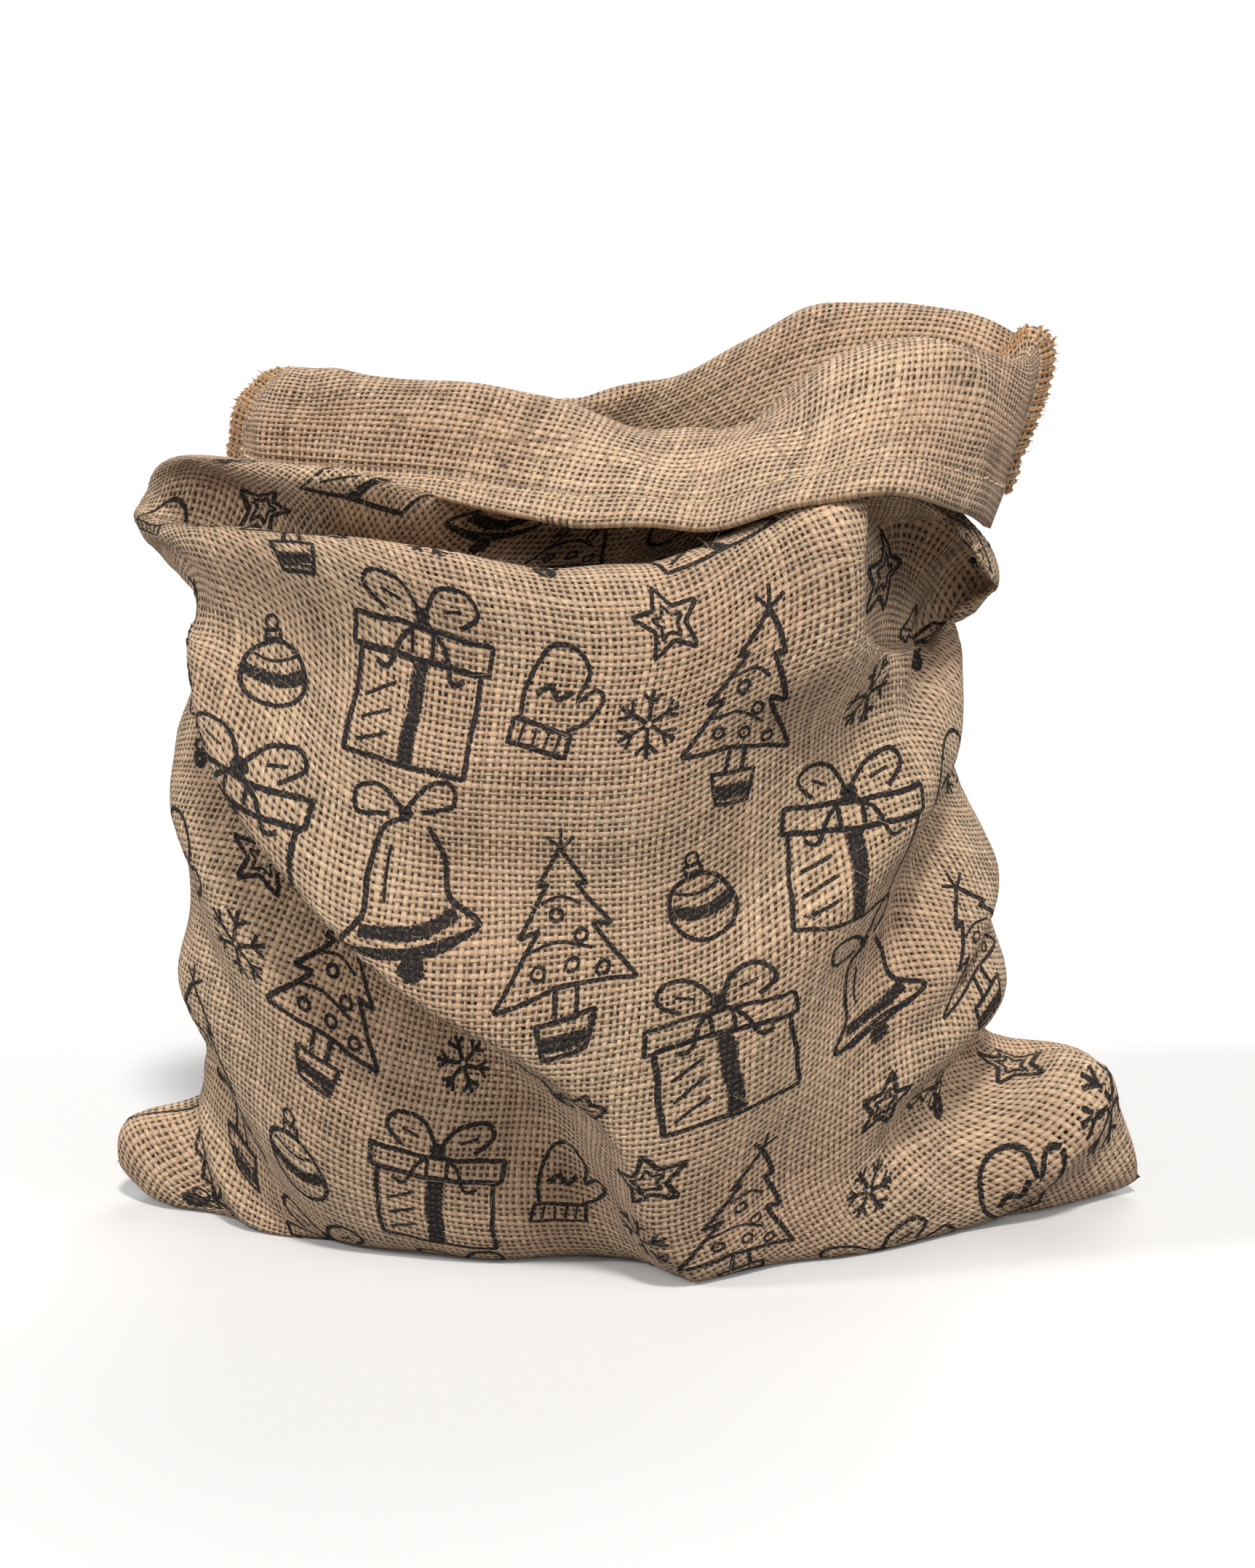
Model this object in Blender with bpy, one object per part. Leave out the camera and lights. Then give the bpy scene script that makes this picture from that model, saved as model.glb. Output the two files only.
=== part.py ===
"""Burlap sack standing on a floor, its mouth turned down in a cuff.

One length of burlap is folded at the base and sewn up both sides. The sack stands half full:
its base lies flat, two ears stick out at the base corners, the upper body has sunk into a lip
with a valley behind it, and the mouth is turned outwards so that the plain inside shows.

Cloth coordinates: "around" runs round the sack from the left seam (0) over the front (0 to
FLAT_WIDTH) and back over the rear panel; "along" runs from the base fold to the hem. Tables are
in millimetres. The front faces -Y, the left side -X, and +Z is up.
"""

from collections import namedtuple

import bmesh
import bpy
import numpy as np
from mathutils import Matrix, Vector

MM = 0.001
FLAT_WIDTH = 400.0
CLOTH = 2.0  # thickness of the burlap
HEM = 14.0  # depth of the turned and stitched hem
HEM_CLOTH = 3.2  # thickness of the hem
GIRTH = 2 * FLAT_WIDTH
PANEL_STEPS = 30  # mesh columns across one panel
FLOOR_BEND = 5.0  # half the height over which the cloth turns up from the floor
LIFT_POWER = 2.4  # how late a section's edge climbs from its middle to its two ends
EAR_POWER = 12.0  # added at the base fold, where only the very ends climb
EAR_LENGTH = 50.0  # length up the cloth over which that dies away
LOOP_POINTS = 240  # points that trace half a section before it is spaced out evenly
TINY = 1e-9  # keeps divisions by a length from failing where it is nothing

BURLAP_COLOUR = (0.50, 0.36, 0.22)
BURLAP_ROUGHNESS = 0.95

# One row for each section of the sack. along: cloth length from the base fold. left and right:
# x of the two side seams. front and back: y of the panels' middles. z_left, z_right, z_front,
# z_back: heights of those four places. square: 2 is an ellipse, more is boxier. rows: mesh rows
# from this section to the next.
Section = namedtuple(
    "Section", "along left right front back z_left z_right z_front z_back square rows"
)
SECTIONS = [
    Section(0, -199, 202, 0, 0, 12, 5, -5, -5, 2.4, 2),
    Section(12, -198, 201, -12, 12, 25, 16, -5, -5, 2.5, 1),
    Section(24, -191, 195, -26, 26, 31, 29, -5, -5, 2.6, 2),
    Section(45, -170, 180, -46, 47, 37, 47, -5, -5, 2.6, 1),
    Section(65, -163, 157, -62, 66, 48, 59, -4, -4, 2.5, 2),
    Section(85, -165, 141, -74, 80, 66, 66, 5, 4, 2.4, 2),
    Section(110, -168, 137, -82, 91, 90, 83, 23, 20, 2.3, 3),
    Section(150, -167, 140, -93, 100, 126, 108, 60, 60, 2.2, 4),
    Section(200, -170, 135, -101, 104, 170, 143, 107, 110, 2.1, 4),
    Section(250, -168, 125, -105, 103, 204, 184, 155, 158, 2.1, 3),
    Section(290, -159, 119, -106, 98, 229, 220, 196, 196, 2.1, 2),
    Section(310, -156, 120, -105, 92, 238, 232, 216, 212, 2.1, 2),
    Section(330, -162, 134, -103, 84, 244, 238, 236, 230, 2.1, 1),
    Section(345, -171, 139, -99, 76, 249, 244, 251, 244, 2.1, 2),
    Section(362, -179, 136, -86, 66, 257, 257, 261, 256, 2.1, 2),
    Section(380, -183, 128, -62, 52, 270, 267, 255, 262, 2.1, 2),
    Section(400, -178, 112, -40, 38, 277, 272, 250, 262, 2.2, 2),
    Section(420, -162, 108, -30, 28, 281, 282, 254, 268, 2.2, 2),
    Section(435, -144, 111, -28, 24, 282, 290, 265, 278, 2.2, 2),
    Section(450, -129, 118, -26, 22, 284, 298, 278, 288, 2.2, 2),
    Section(465, -121, 128, -25, 22, 290, 307, 290, 298, 2.2, 1),
    Section(480, -120, 138, -25, 22, 306, 316, 300, 308, 2.2, 1),
    Section(495, -122, 148, -28, 26, 319, 325, 306, 314, 2.2, 1),
    Section(510, -127, 149, -40, 38, 315, 318, 304, 308, 2.2, 1),
    Section(535, -136, 142, -64, 56, 305, 292, 293, 290, 2.2, 2),
    Section(560, -140, 132, -84, 70, 287, 264, 279, 272, 2.2, 0),
]

# A strip of cloth that runs up the sack and leaves the smooth sections. around: its middle. reach:
# how far to each side its shape fades out. stations: height and y of its middle, up the cloth.
Station = namedtuple("Station", "along y z")
Strip = namedtuple("Strip", "around reach stations")
LIP = [  # the left of the front: the lip and the groove behind it
    Station(300, -70, 224),
    Station(320, -76, 240),
    Station(335, -80, 256),
    Station(346, -83, 269),
    Station(356, -80, 277),
    Station(368, -67, 275),
    Station(380, -56, 266),
    Station(391, -47, 257),
    Station(401, -43, 265),
    Station(411, -57, 277),
]
ROLL = [  # above it, a roll in front of the hem and the groove that the hem sinks into
    Station(380, -56, 266),
    Station(391, -47, 257),
    Station(401, -43, 265),
    Station(411, -57, 277),
    Station(421, -73, 285),
    Station(430, -81, 289),
    Station(438, -77, 296),
    Station(447, -63, 294),
    Station(456, -46, 285),
    Station(466, -29, 286),
    Station(478, -24, 303),
]
NEAR_RIM = [  # the rim over the roll, and the cuff down to the hem
    Station(448, -62, 294),
    Station(456, -46, 285),
    Station(466, -29, 286),
    Station(478, -24, 303),
    Station(492, -32, 325),
    Station(504, -39, 321),
    Station(522, -41, 309),
    Station(542, -40, 299),
    Station(560, -39, 294),
]
RIDGE = [  # the right of the front: the lip climbs until the hem rides over it
    Station(290, -82, 204),
    Station(310, -88, 226),
    Station(325, -91, 243),
    Station(340, -91, 260),
    Station(352, -88, 273),
    Station(362, -83, 281),
    Station(372, -73, 284),
    Station(384, -58, 278),
    Station(400, -42, 267),
    Station(420, -32, 270),
    Station(450, -29, 296),
    Station(480, -32, 326),
    Station(492, -34, 336),
    Station(504, -43, 336),
    Station(530, -68, 314),
    Station(560, -94, 291),
]
OPEN_SIDE = [  # the right of the back, where the mouth gapes
    Station(410, 26, 267),
    Station(450, 24, 296),
    Station(480, 30, 331),
    Station(492, 35, 341),
    Station(504, 44, 338),
    Station(530, 60, 318),
    Station(560, 74, 294),
]
SHUT_SIDE = [  # the left of the back, which falls in against the front
    Station(410, 20, 272),
    Station(450, 6, 286),
    Station(480, 0, 300),
    Station(492, 0, 306),
    Station(504, 9, 306),
    Station(530, 30, 296),
    Station(560, 48, 282),
]
STRIPS = [
    Strip(98, 105, LIP),
    Strip(72, 80, ROLL),
    Strip(86, 98, NEAR_RIM),
    Strip(312, 80, RIDGE),
    Strip(490, 110, OPEN_SIDE),
    Strip(702, 104, SHUT_SIDE),
]
STRIP_POWER = 1.3  # how a strip's shape fades to its sides: more is narrower
STRIP_FADE = 30.0  # length over which a strip grows out of the smooth sections, or sinks back

# A patch of cloth moved bodily. around and along: its middle. wide and high: its reach each way.
# x, y, z: how far its middle moves.
Pull = namedtuple("Pull", "around along wide high x y z")
PULLS = [
    # the front of the base runs to a blunt corner, and its left side lies lower
    Pull(245, 85, 50, 40, 0, -9, 0),
    Pull(48, 48, 36, 26, -2, -8, -7),
    # the elbow rises a little in front of the left end of the hem
    Pull(14, 424, 32, 20, 0, -8, 8),
    Pull(0, 560, 26, 22, 0, 7, 0),
    # the pocket beside the right end of the lip, and the wing beyond it
    Pull(356, 322, 20, 30, -3, 36, -2),
    Pull(388, 352, 20, 24, 0, -12, 0),
]

# A fold pressed into the cloth. path: places (around, along) on its line. left and right: how far
# its slopes reach to each side of the line. depth: out of the cloth (a ridge) or, below 0, into it
# (a trough). lean: how far the cloth slides to the left of the line.
Crease = namedtuple("Crease", "path left right depth lean")
CREASES = [
    # the long slanting fold over the front: a shelf that hangs over a hollow
    Crease(((52, 310), (74, 258), (130, 219), (182, 188), (212, 146), (230, 92)), 44, 22, 11, -5),
    Crease(((28, 262), (76, 232), (110, 203), (140, 182), (172, 158), (206, 90)), 22, 32, -18, 0),
    # the left end of the lip: an edge down to the slanting fold, and a hollow left of it
    Crease(((62, 340), (56, 305), (62, 270)), 16, 16, 5, 0),
    Crease(((26, 312), (20, 288), (30, 262)), 18, 18, -8, 0),
    # the fold that slants down from the pocket at the right
    Crease(((366, 292), (340, 262), (308, 238), (280, 220), (252, 204)), 20, 20, 8, 0),
    Crease(((396, 235), (350, 222), (318, 200)), 20, 20, -8, 0),
    # where the body bulges over the right ear
    Crease(((396, 86), (368, 92), (340, 104), (316, 106)), 14, 18, -12, 0),
    Crease(((396, 128), (366, 134), (336, 138)), 18, 18, 6, 0),
    # the left ear: a bulge of the body over it, a crease between, and its dished front
    Crease(((4, 92), (30, 88), (62, 78)), 15, 15, -10, 0),
    Crease(((8, 124), (40, 122)), 18, 18, 5, 0),
    Crease(((16, 42), (30, 35), (46, 30)), 12, 12, -6, 0),
]
CREASE_STEPS = 40  # points along the line of a crease
CREASE_END = 0.06  # share of a crease's taper that is cut off, so its ends keep some depth


def smooth_table(stations, values, at):
    """Monotone cubic curve through each column of values, read at the places in `at`."""
    gap = np.diff(stations)[:, None]
    slope = np.diff(values, axis=0) / gap
    left, right = slope[:-1], slope[1:]
    weight_l = gap[1:] + 2 * gap[:-1]
    weight_r = 2 * gap[1:] + gap[:-1]
    same_way = left * right > 0
    safe_l, safe_r = np.where(same_way, left, 1), np.where(same_way, right, 1)
    inner = np.where(same_way, (weight_l + weight_r) / (weight_l / safe_l + weight_r / safe_r), 0)
    tangent = np.vstack([slope[:1], inner, slope[-1:]])
    i = np.clip(np.searchsorted(stations, at, side="right") - 1, 0, len(stations) - 2)
    h = gap[i]
    t = ((at - stations[i]) / gap[i, 0])[:, None]
    return (
        values[i] * (1 + 2 * t) * (1 - t) ** 2
        + tangent[i] * h * t * (1 - t) ** 2
        + values[i + 1] * t**2 * (3 - 2 * t)
        + tangent[i + 1] * h * t**2 * (t - 1)
    )


def soft_step(share):
    """Rises smoothly from 0 to 1."""
    share = np.clip(share, 0, 1)
    return share**2 * (3 - 2 * share)


def even_half_loop(reach, depth, square, share):
    """Half a superellipse from -reach to +reach, read at even shares of its length."""
    turn = np.linspace(0, np.pi, LOOP_POINTS)
    across = -np.sign(np.cos(turn)) * np.abs(np.cos(turn)) ** (2 / square)
    out = np.sin(turn) ** (2 / square)
    steps = np.hypot(np.diff(across) * reach, np.diff(out) * max(depth, TINY))
    length = np.concatenate([[0], np.cumsum(steps)])
    at = share * length[-1]
    return np.interp(at, length, across), np.interp(at, length, out)


def base_shape(around, along):
    """Sections of the table joined into a smooth tube: x, y, z grids over around and along."""
    table = np.array([row[:-1] for row in SECTIONS], float)
    rows = smooth_table(table[:, 0], table[:, 1:], along)
    x, y, z = (np.zeros((len(along), len(around))) for _ in range(3))
    front = around <= FLAT_WIDTH
    share_front = around[front] / FLAT_WIDTH
    share_back = (GIRTH - around[~front]) / FLAT_WIDTH
    for j, (left, right, y_f, y_b, z_l, z_r, z_f, z_b, square) in enumerate(rows):
        middle, reach = (left + right) / 2, (right - left) / 2
        power = LIFT_POWER + EAR_POWER * np.exp(-along[j] / EAR_LENGTH)
        for part, share, depth, z_mid in (
            (front, share_front, y_f, z_f),
            (~front, share_back, y_b, z_b),
        ):
            across, out = even_half_loop(reach, abs(depth), square, share)
            side = np.where(across < 0, z_l, z_r)
            lift = np.abs(across) ** power
            x[j, part] = middle + reach * across
            y[j, part] = depth * out
            z[j, part] = z_mid + (side - z_mid) * lift
    return np.stack([x, y, z], axis=-1)


def round_trip(difference):
    """A difference in "around", taken the short way round the sack."""
    return (difference + FLAT_WIDTH) % GIRTH - FLAT_WIDTH


def lay_strips(points, around, along):
    """Bends the cloth beside each strip to the strip's own shape."""
    for strip in STRIPS:
        stations = np.array(strip.stations, float)
        column = base_shape(np.array([float(strip.around)]), along)[:, 0, 1:]
        shape = smooth_table(stations[:, 0], stations[:, 1:], along)
        grown = soft_step((along - stations[0, 0]) / STRIP_FADE)
        if stations[-1, 0] < SECTIONS[-1].along:
            grown *= soft_step((stations[-1, 0] - along) / STRIP_FADE)
        change = (shape - column) * grown[:, None]
        away = np.clip(np.abs(round_trip(around - strip.around)) / strip.reach, 0, 1)
        points[..., 1:] += ((1 - away**2) ** STRIP_POWER)[None, :, None] * change[:, None, :]
    return points


def pull(points, around, along):
    """Moves patches of the cloth as the table of pulls says."""
    for row in PULLS:
        across = round_trip(around[None, :] - row.around) / row.wide
        up = (along[:, None] - row.along) / row.high
        weight = np.exp(-(across**2) - up**2)[..., None]
        points = points + weight * np.array([row.x, row.y, row.z], float)
    return points


def surface_normals(points):
    """Unit normals of the grid, pointing out of the sack where it isn't turned down."""
    ahead = np.roll(points, -1, axis=1) - np.roll(points, 1, axis=1)
    up = np.gradient(points, axis=0)
    normal = np.cross(ahead, up)
    length = np.linalg.norm(normal, axis=-1, keepdims=True)
    return normal / np.maximum(length, TINY)


def crease_line(path):
    """Points and unit tangents of the smooth line through the places of a path."""
    places = np.array(path, float)
    length = np.concatenate([[0], np.cumsum(np.hypot(*np.diff(places, axis=0).T))])
    at = np.linspace(0, length[-1], CREASE_STEPS)
    line = smooth_table(length, places, at)
    tangent = np.gradient(line, axis=0)
    return line, tangent / np.linalg.norm(tangent, axis=1, keepdims=True)


def crease(points, around, along):
    """Presses the ridges and troughs of the table of creases into the cloth."""
    normal = surface_normals(points)
    ahead = np.roll(points, -1, axis=1) - np.roll(points, 1, axis=1)
    ahead /= np.maximum(np.linalg.norm(ahead, axis=-1, keepdims=True), TINY)
    up = np.cross(normal, ahead)
    moved = points.copy()
    for row in CREASES:
        line, tangent = crease_line(row.path)
        across = round_trip(around[None, :, None] - line[:, 0])
        rise = along[:, None, None] - line[:, 1]
        nearest = np.argmin(across**2 + rise**2, axis=2)
        across = round_trip(around[None, :] - line[nearest, 0])
        rise = along[:, None] - line[nearest, 1]
        run = tangent[nearest]
        off = rise * run[..., 0] - across * run[..., 1]
        past = across * run[..., 0] + rise * run[..., 1]
        reach = np.where(off > 0, row.left, row.right)
        share = nearest / (CREASE_STEPS - 1)
        taper = np.sqrt(np.sin(np.pi * (CREASE_END + (1 - 2 * CREASE_END) * share)))
        profile = taper * np.exp(-((off / reach) ** 2) - (past / reach) ** 2)
        aside = run[..., :1] * up - run[..., 1:] * ahead
        moved += profile[..., None] * (row.depth * normal + row.lean * aside)
    return moved


def on_floor(points):
    """Lays whatever would sink below the floor flat on it, with a soft turn up."""
    z = points[..., 2]
    soft = (z + FLOOR_BEND) ** 2 / (4 * FLOOR_BEND)
    points[..., 2] = np.where(z > FLOOR_BEND, z, np.where(z < -FLOOR_BEND, 0, soft))
    return points


def cloth_surface(around, along):
    """The outer face of the cloth as a grid of points, in millimetres."""
    points = base_shape(around, along)
    points = lay_strips(points, around, along)
    points = pull(points, around, along)
    points = crease(points, around, along)
    return on_floor(points)


def mesh_rows():
    """Where along the cloth each mesh row lies, as the section table spaces them."""
    pieces = [
        np.linspace(low.along, high.along, low.rows, endpoint=False)
        for low, high in zip(SECTIONS, SECTIONS[1:])
    ]
    return np.concatenate([*pieces, [SECTIONS[-1].along]])


def thickness(along):
    """The cloth's thickness up its length: the hem is turned over and thicker."""
    last = SECTIONS[-1].along
    return CLOTH + (HEM_CLOTH - CLOTH) * soft_step((along - last + HEM) / (HEM / 2))


def both_faces(around, along):
    """The printed face of the cloth and the plain face behind it."""
    printed = cloth_surface(around, along)
    plain = printed - thickness(along)[:, None, None] * surface_normals(printed)
    return printed, plain


def shell_mesh(name, outer, inner):
    """A closed shell: both faces, joined along the hem, each folded shut at the base."""
    rows, columns = outer.shape[:2]
    half = columns // 2
    points, faces = [], []
    for layer, (grid, facing) in enumerate(((outer, 1), (inner, -1))):
        index = np.zeros((rows, columns), int)
        for j in range(rows):
            for i in range(columns):
                if j == 0 and i > half:
                    index[j, i] = index[0, columns - i]
                    continue
                point = grid[j, i].copy()
                if j == 0 and 0 < i < half:
                    point = (grid[0, i] + grid[0, columns - i]) / 2
                index[j, i] = len(points)
                points.append(point * MM)
        for j in range(rows - 1):
            for i in range(columns):
                k = (i + 1) % columns
                a, b, c, d = index[j, i], index[j, k], index[j + 1, k], index[j + 1, i]
                pole_first = j == 0 and i in (0, half)
                pole_last = j == 0 and k in (0, half)
                if pole_first:
                    faces += [(a, b, c)[::facing], (a, c, d)[::facing]]
                elif pole_last:
                    faces += [(a, b, d)[::facing], (b, c, d)[::facing]]
                else:
                    faces.append((a, b, c, d)[::facing])
        if layer == 0:
            outer_hem = index[-1]
        else:
            for i in range(columns):
                k = (i + 1) % columns
                faces.append((outer_hem[i], outer_hem[k], index[-1, k], index[-1, i]))
    mesh = bpy.data.meshes.new(name)
    mesh.from_pydata(points, [], faces)
    return mesh


def outward(mesh):
    """Turns every face outwards."""
    shape = bmesh.new()
    shape.from_mesh(mesh)
    bmesh.ops.recalc_face_normals(shape, faces=shape.faces)
    shape.to_mesh(mesh)
    shape.free()


def paint(mesh, name, colour, roughness):
    """Gives the mesh a plain material."""
    material = bpy.data.materials.new(name)
    material.use_nodes = True
    shader = material.node_tree.nodes["Principled BSDF"]
    shader.inputs["Base Color"].default_value = (*colour, 1)
    shader.inputs["Roughness"].default_value = roughness
    shader.inputs["Metallic"].default_value = 0
    mesh.materials.append(material)


def centre_on_floor(mesh):
    """Moves the sack so that its bounding box stands over the origin."""
    points = np.array([vertex.co[:] for vertex in mesh.vertices])
    low, high = points.min(axis=0), points.max(axis=0)
    shift = Vector((-(low[0] + high[0]) / 2, -(low[1] + high[1]) / 2, -low[2]))
    mesh.transform(Matrix.Translation(shift))


def main():
    for obj in list(bpy.data.objects):
        bpy.data.objects.remove(obj)
    around = np.arange(2 * PANEL_STEPS) * FLAT_WIDTH / PANEL_STEPS
    cloth = shell_mesh("sack_cloth", *both_faces(around, mesh_rows()))
    paint(cloth, "burlap", BURLAP_COLOUR, BURLAP_ROUGHNESS)
    outward(cloth)
    centre_on_floor(cloth)
    sack = bpy.data.objects.new(cloth.name, cloth)
    bpy.context.scene.collection.objects.link(sack)


main()
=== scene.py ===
"""A burlap sack with its mouth turned down: cloth, print, hem stitches, seam trim and loose fibres.

Everything is worked out in cloth coordinates, in millimetres: "around" runs round the sack from
the left seam (0) over the front to the right seam (FLAT_WIDTH) and back over the rear panel, and
"along" runs from the base fold (0) to the hem (LENGTH). The front faces -Y and +Z is up.
"""

import logging
import math
from dataclasses import dataclass
from enum import Enum
from typing import NamedTuple

import bmesh
import bpy
import numpy as np
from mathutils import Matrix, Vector

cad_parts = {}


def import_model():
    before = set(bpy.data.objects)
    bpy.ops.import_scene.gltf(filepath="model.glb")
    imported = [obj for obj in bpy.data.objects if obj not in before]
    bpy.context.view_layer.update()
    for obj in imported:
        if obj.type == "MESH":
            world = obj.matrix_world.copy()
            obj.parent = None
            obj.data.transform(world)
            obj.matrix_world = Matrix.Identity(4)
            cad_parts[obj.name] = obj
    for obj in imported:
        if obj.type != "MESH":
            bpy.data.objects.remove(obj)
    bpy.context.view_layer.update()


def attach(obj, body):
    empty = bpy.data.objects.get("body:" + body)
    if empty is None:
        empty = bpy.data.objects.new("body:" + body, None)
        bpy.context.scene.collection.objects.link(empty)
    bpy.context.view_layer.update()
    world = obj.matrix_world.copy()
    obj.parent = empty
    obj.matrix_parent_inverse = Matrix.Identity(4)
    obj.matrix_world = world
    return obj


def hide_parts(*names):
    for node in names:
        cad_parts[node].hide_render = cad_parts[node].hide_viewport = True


LOG = logging.getLogger("sack")
MM = 0.001
FLAT_WIDTH = 400.0
LENGTH = 560.0
GIRTH = 2 * FLAT_WIDTH
HEM = 14.0  # depth of the turned and stitched hem
CENTRING = np.array([-1.494, 2.891, 0.0])  # brings the table's frame to the middle of the base
TINY = 1e-9
SEED = 20

Rows = tuple[tuple[float, ...], ...]
Material = bpy.types.Material
Piece = bpy.types.Object
Socket = bpy.types.NodeSocket


class Section(NamedTuple):
    """A section of the sack: where its seams and panel middles lie, and how boxy it is."""

    along: float
    left: float
    right: float
    front: float
    back: float
    z_left: float
    z_right: float
    z_front: float
    z_back: float
    square: float


class Strip(NamedTuple):
    """A strip of cloth that leaves the smooth sections: its middle and its reach to each side.

    Its stations are lengths up the cloth, each with the y and the z that it comes to.
    """

    around: float
    reach: float
    along: tuple[float, ...]
    y: tuple[float, ...]
    z: tuple[float, ...]


class Pull(NamedTuple):
    """A patch of cloth moved bodily: its middle, its reach each way, how far it moves."""

    around: float
    along: float
    wide: float
    high: float
    x: float
    y: float
    z: float


class Crease(NamedTuple):
    """A soft ridge (depth above 0) or trough (below 0) along a path of cloth places.

    left and right say how far its slopes reach to each side, and lean slides the cloth left.
    """

    path: Rows
    left: float
    right: float
    depth: float
    lean: float = 0


SECTIONS = (
    Section(0, -199, 202, 0, 0, 12, 5, -5, -5, 2.4),
    Section(12, -198, 201, -12, 12, 25, 16, -5, -5, 2.5),
    Section(24, -191, 195, -26, 26, 31, 29, -5, -5, 2.6),
    Section(45, -170, 180, -46, 47, 37, 47, -5, -5, 2.6),
    Section(65, -163, 157, -62, 66, 48, 59, -4, -4, 2.5),
    Section(85, -165, 141, -74, 80, 66, 66, 5, 4, 2.4),
    Section(110, -168, 137, -82, 91, 90, 83, 23, 20, 2.3),
    Section(150, -167, 140, -93, 100, 126, 108, 60, 60, 2.2),
    Section(200, -170, 135, -101, 104, 170, 143, 107, 110, 2.1),
    Section(250, -168, 125, -105, 103, 204, 184, 155, 158, 2.1),
    Section(290, -159, 119, -106, 98, 229, 220, 196, 196, 2.1),
    Section(310, -156, 120, -105, 92, 238, 232, 216, 212, 2.1),
    Section(330, -162, 134, -103, 84, 244, 238, 236, 230, 2.1),
    Section(345, -171, 139, -99, 76, 249, 244, 251, 244, 2.1),
    Section(362, -179, 136, -86, 66, 257, 257, 261, 256, 2.1),
    Section(380, -183, 128, -62, 52, 270, 267, 255, 262, 2.1),
    Section(400, -178, 112, -40, 38, 277, 272, 250, 262, 2.2),
    Section(420, -162, 108, -30, 28, 281, 282, 254, 268, 2.2),
    Section(435, -144, 111, -28, 24, 282, 290, 265, 278, 2.2),
    Section(450, -129, 118, -26, 22, 284, 298, 278, 288, 2.2),
    Section(465, -121, 128, -25, 22, 290, 307, 290, 298, 2.2),
    Section(480, -120, 138, -25, 22, 306, 316, 300, 308, 2.2),
    Section(495, -122, 148, -28, 26, 319, 325, 306, 314, 2.2),
    Section(510, -127, 149, -40, 38, 315, 318, 304, 308, 2.2),
    Section(535, -136, 142, -64, 56, 305, 292, 293, 290, 2.2),
    Section(560, -140, 132, -84, 70, 287, 264, 279, 272, 2.2),
)

STRIPS = (
    # the left of the front: the lip and the groove behind it
    Strip(
        98,
        105,
        (300, 320, 335, 346, 356, 368, 380, 391, 401, 411),
        (-70, -76, -80, -83, -80, -67, -56, -47, -43, -57),
        (224, 240, 256, 269, 277, 275, 266, 257, 265, 277),
    ),
    # above it, a roll in front of the hem and the groove that the hem sinks into
    Strip(
        72,
        80,
        (380, 391, 401, 411, 421, 430, 438, 447, 456, 466, 478),
        (-56, -47, -43, -57, -73, -81, -77, -63, -46, -29, -24),
        (266, 257, 265, 277, 285, 289, 296, 294, 285, 286, 303),
    ),
    # the rim over the roll, and the cuff down to the hem
    Strip(
        86,
        98,
        (448, 456, 466, 478, 492, 504, 522, 542, 560),
        (-62, -46, -29, -24, -32, -39, -41, -40, -39),
        (294, 285, 286, 303, 325, 321, 309, 299, 294),
    ),
    # the right of the front: the lip climbs until the hem rides over it
    Strip(
        312,
        80,
        (290, 310, 325, 340, 352, 362, 372, 384, 400, 420, 450, 480, 492, 504, 530, 560),
        (-82, -88, -91, -91, -88, -83, -73, -58, -42, -32, -29, -32, -34, -43, -68, -94),
        (204, 226, 243, 260, 273, 281, 284, 278, 267, 270, 296, 326, 336, 336, 314, 291),
    ),
    # the right of the back, where the mouth gapes
    Strip(
        490,
        110,
        (410, 450, 480, 492, 504, 530, 560),
        (26, 24, 30, 35, 44, 60, 74),
        (267, 296, 331, 341, 338, 318, 294),
    ),
    # the left of the back, which falls in against the front
    Strip(
        702,
        104,
        (410, 450, 480, 492, 504, 530, 560),
        (20, 6, 0, 0, 9, 30, 48),
        (272, 286, 300, 306, 306, 296, 282),
    ),
)

PULLS = (
    # the front of the base runs to a blunt corner, and its left side lies lower
    Pull(245, 85, 50, 40, 0, -9, 0),
    Pull(48, 48, 36, 26, -2, -8, -7),
    # the elbow rises a little in front of the left end of the hem
    Pull(14, 424, 32, 20, 0, -8, 8),
    Pull(0, 560, 26, 22, 0, 7, 0),
    # the pocket beside the right end of the lip, and the wing beyond it
    Pull(356, 322, 20, 30, -3, 36, -2),
    Pull(388, 352, 20, 24, 0, -12, 0),
    # the hem's left half sinks behind the roll, into a deeper groove
    Pull(60, 560, 62, 26, 0, 4, -13),
    Pull(0, 560, 30, 26, 0, 4, -6),
    Pull(66, 459, 60, 13, 0, 3, -12),
    # the roll in front of it, and the hollow under the roll
    Pull(80, 434, 46, 14, 0, -6, 8),
    Pull(20, 418, 26, 16, -3, -8, 4),
    Pull(56, 408, 34, 12, 0, 15, 5),
    # the lip's middle and its right end stand higher
    Pull(240, 366, 70, 24, 0, -3, 7),
    Pull(314, 368, 34, 26, 0, -4, 8),
    # the pocket beside the lip is a deep dent, and the wing beyond it a fuller roll
    Pull(322, 334, 19, 21, -2, 48, 0),
    Pull(324, 340, 18, 15, 0, 34, -3),
    Pull(346, 322, 14, 15, 0, 20, 0),
    Pull(290, 342, 15, 26, 0, -9, 0),
    Pull(368, 350, 18, 13, -4, -20, 2),
    # the blunt tip of the left ear, and the body's foot right over it
    Pull(2, 22, 22, 16, -2, 0, 6),
    Pull(0, 50, 26, 11, 7, 0, 3),
    Pull(26, 6, 24, 16, -4, -10, -1),
    # the right ear is a full, round mound
    Pull(396, 52, 26, 15, 5, -2, 9),
    Pull(376, 44, 22, 20, 0, -9, 2),
)

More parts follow.
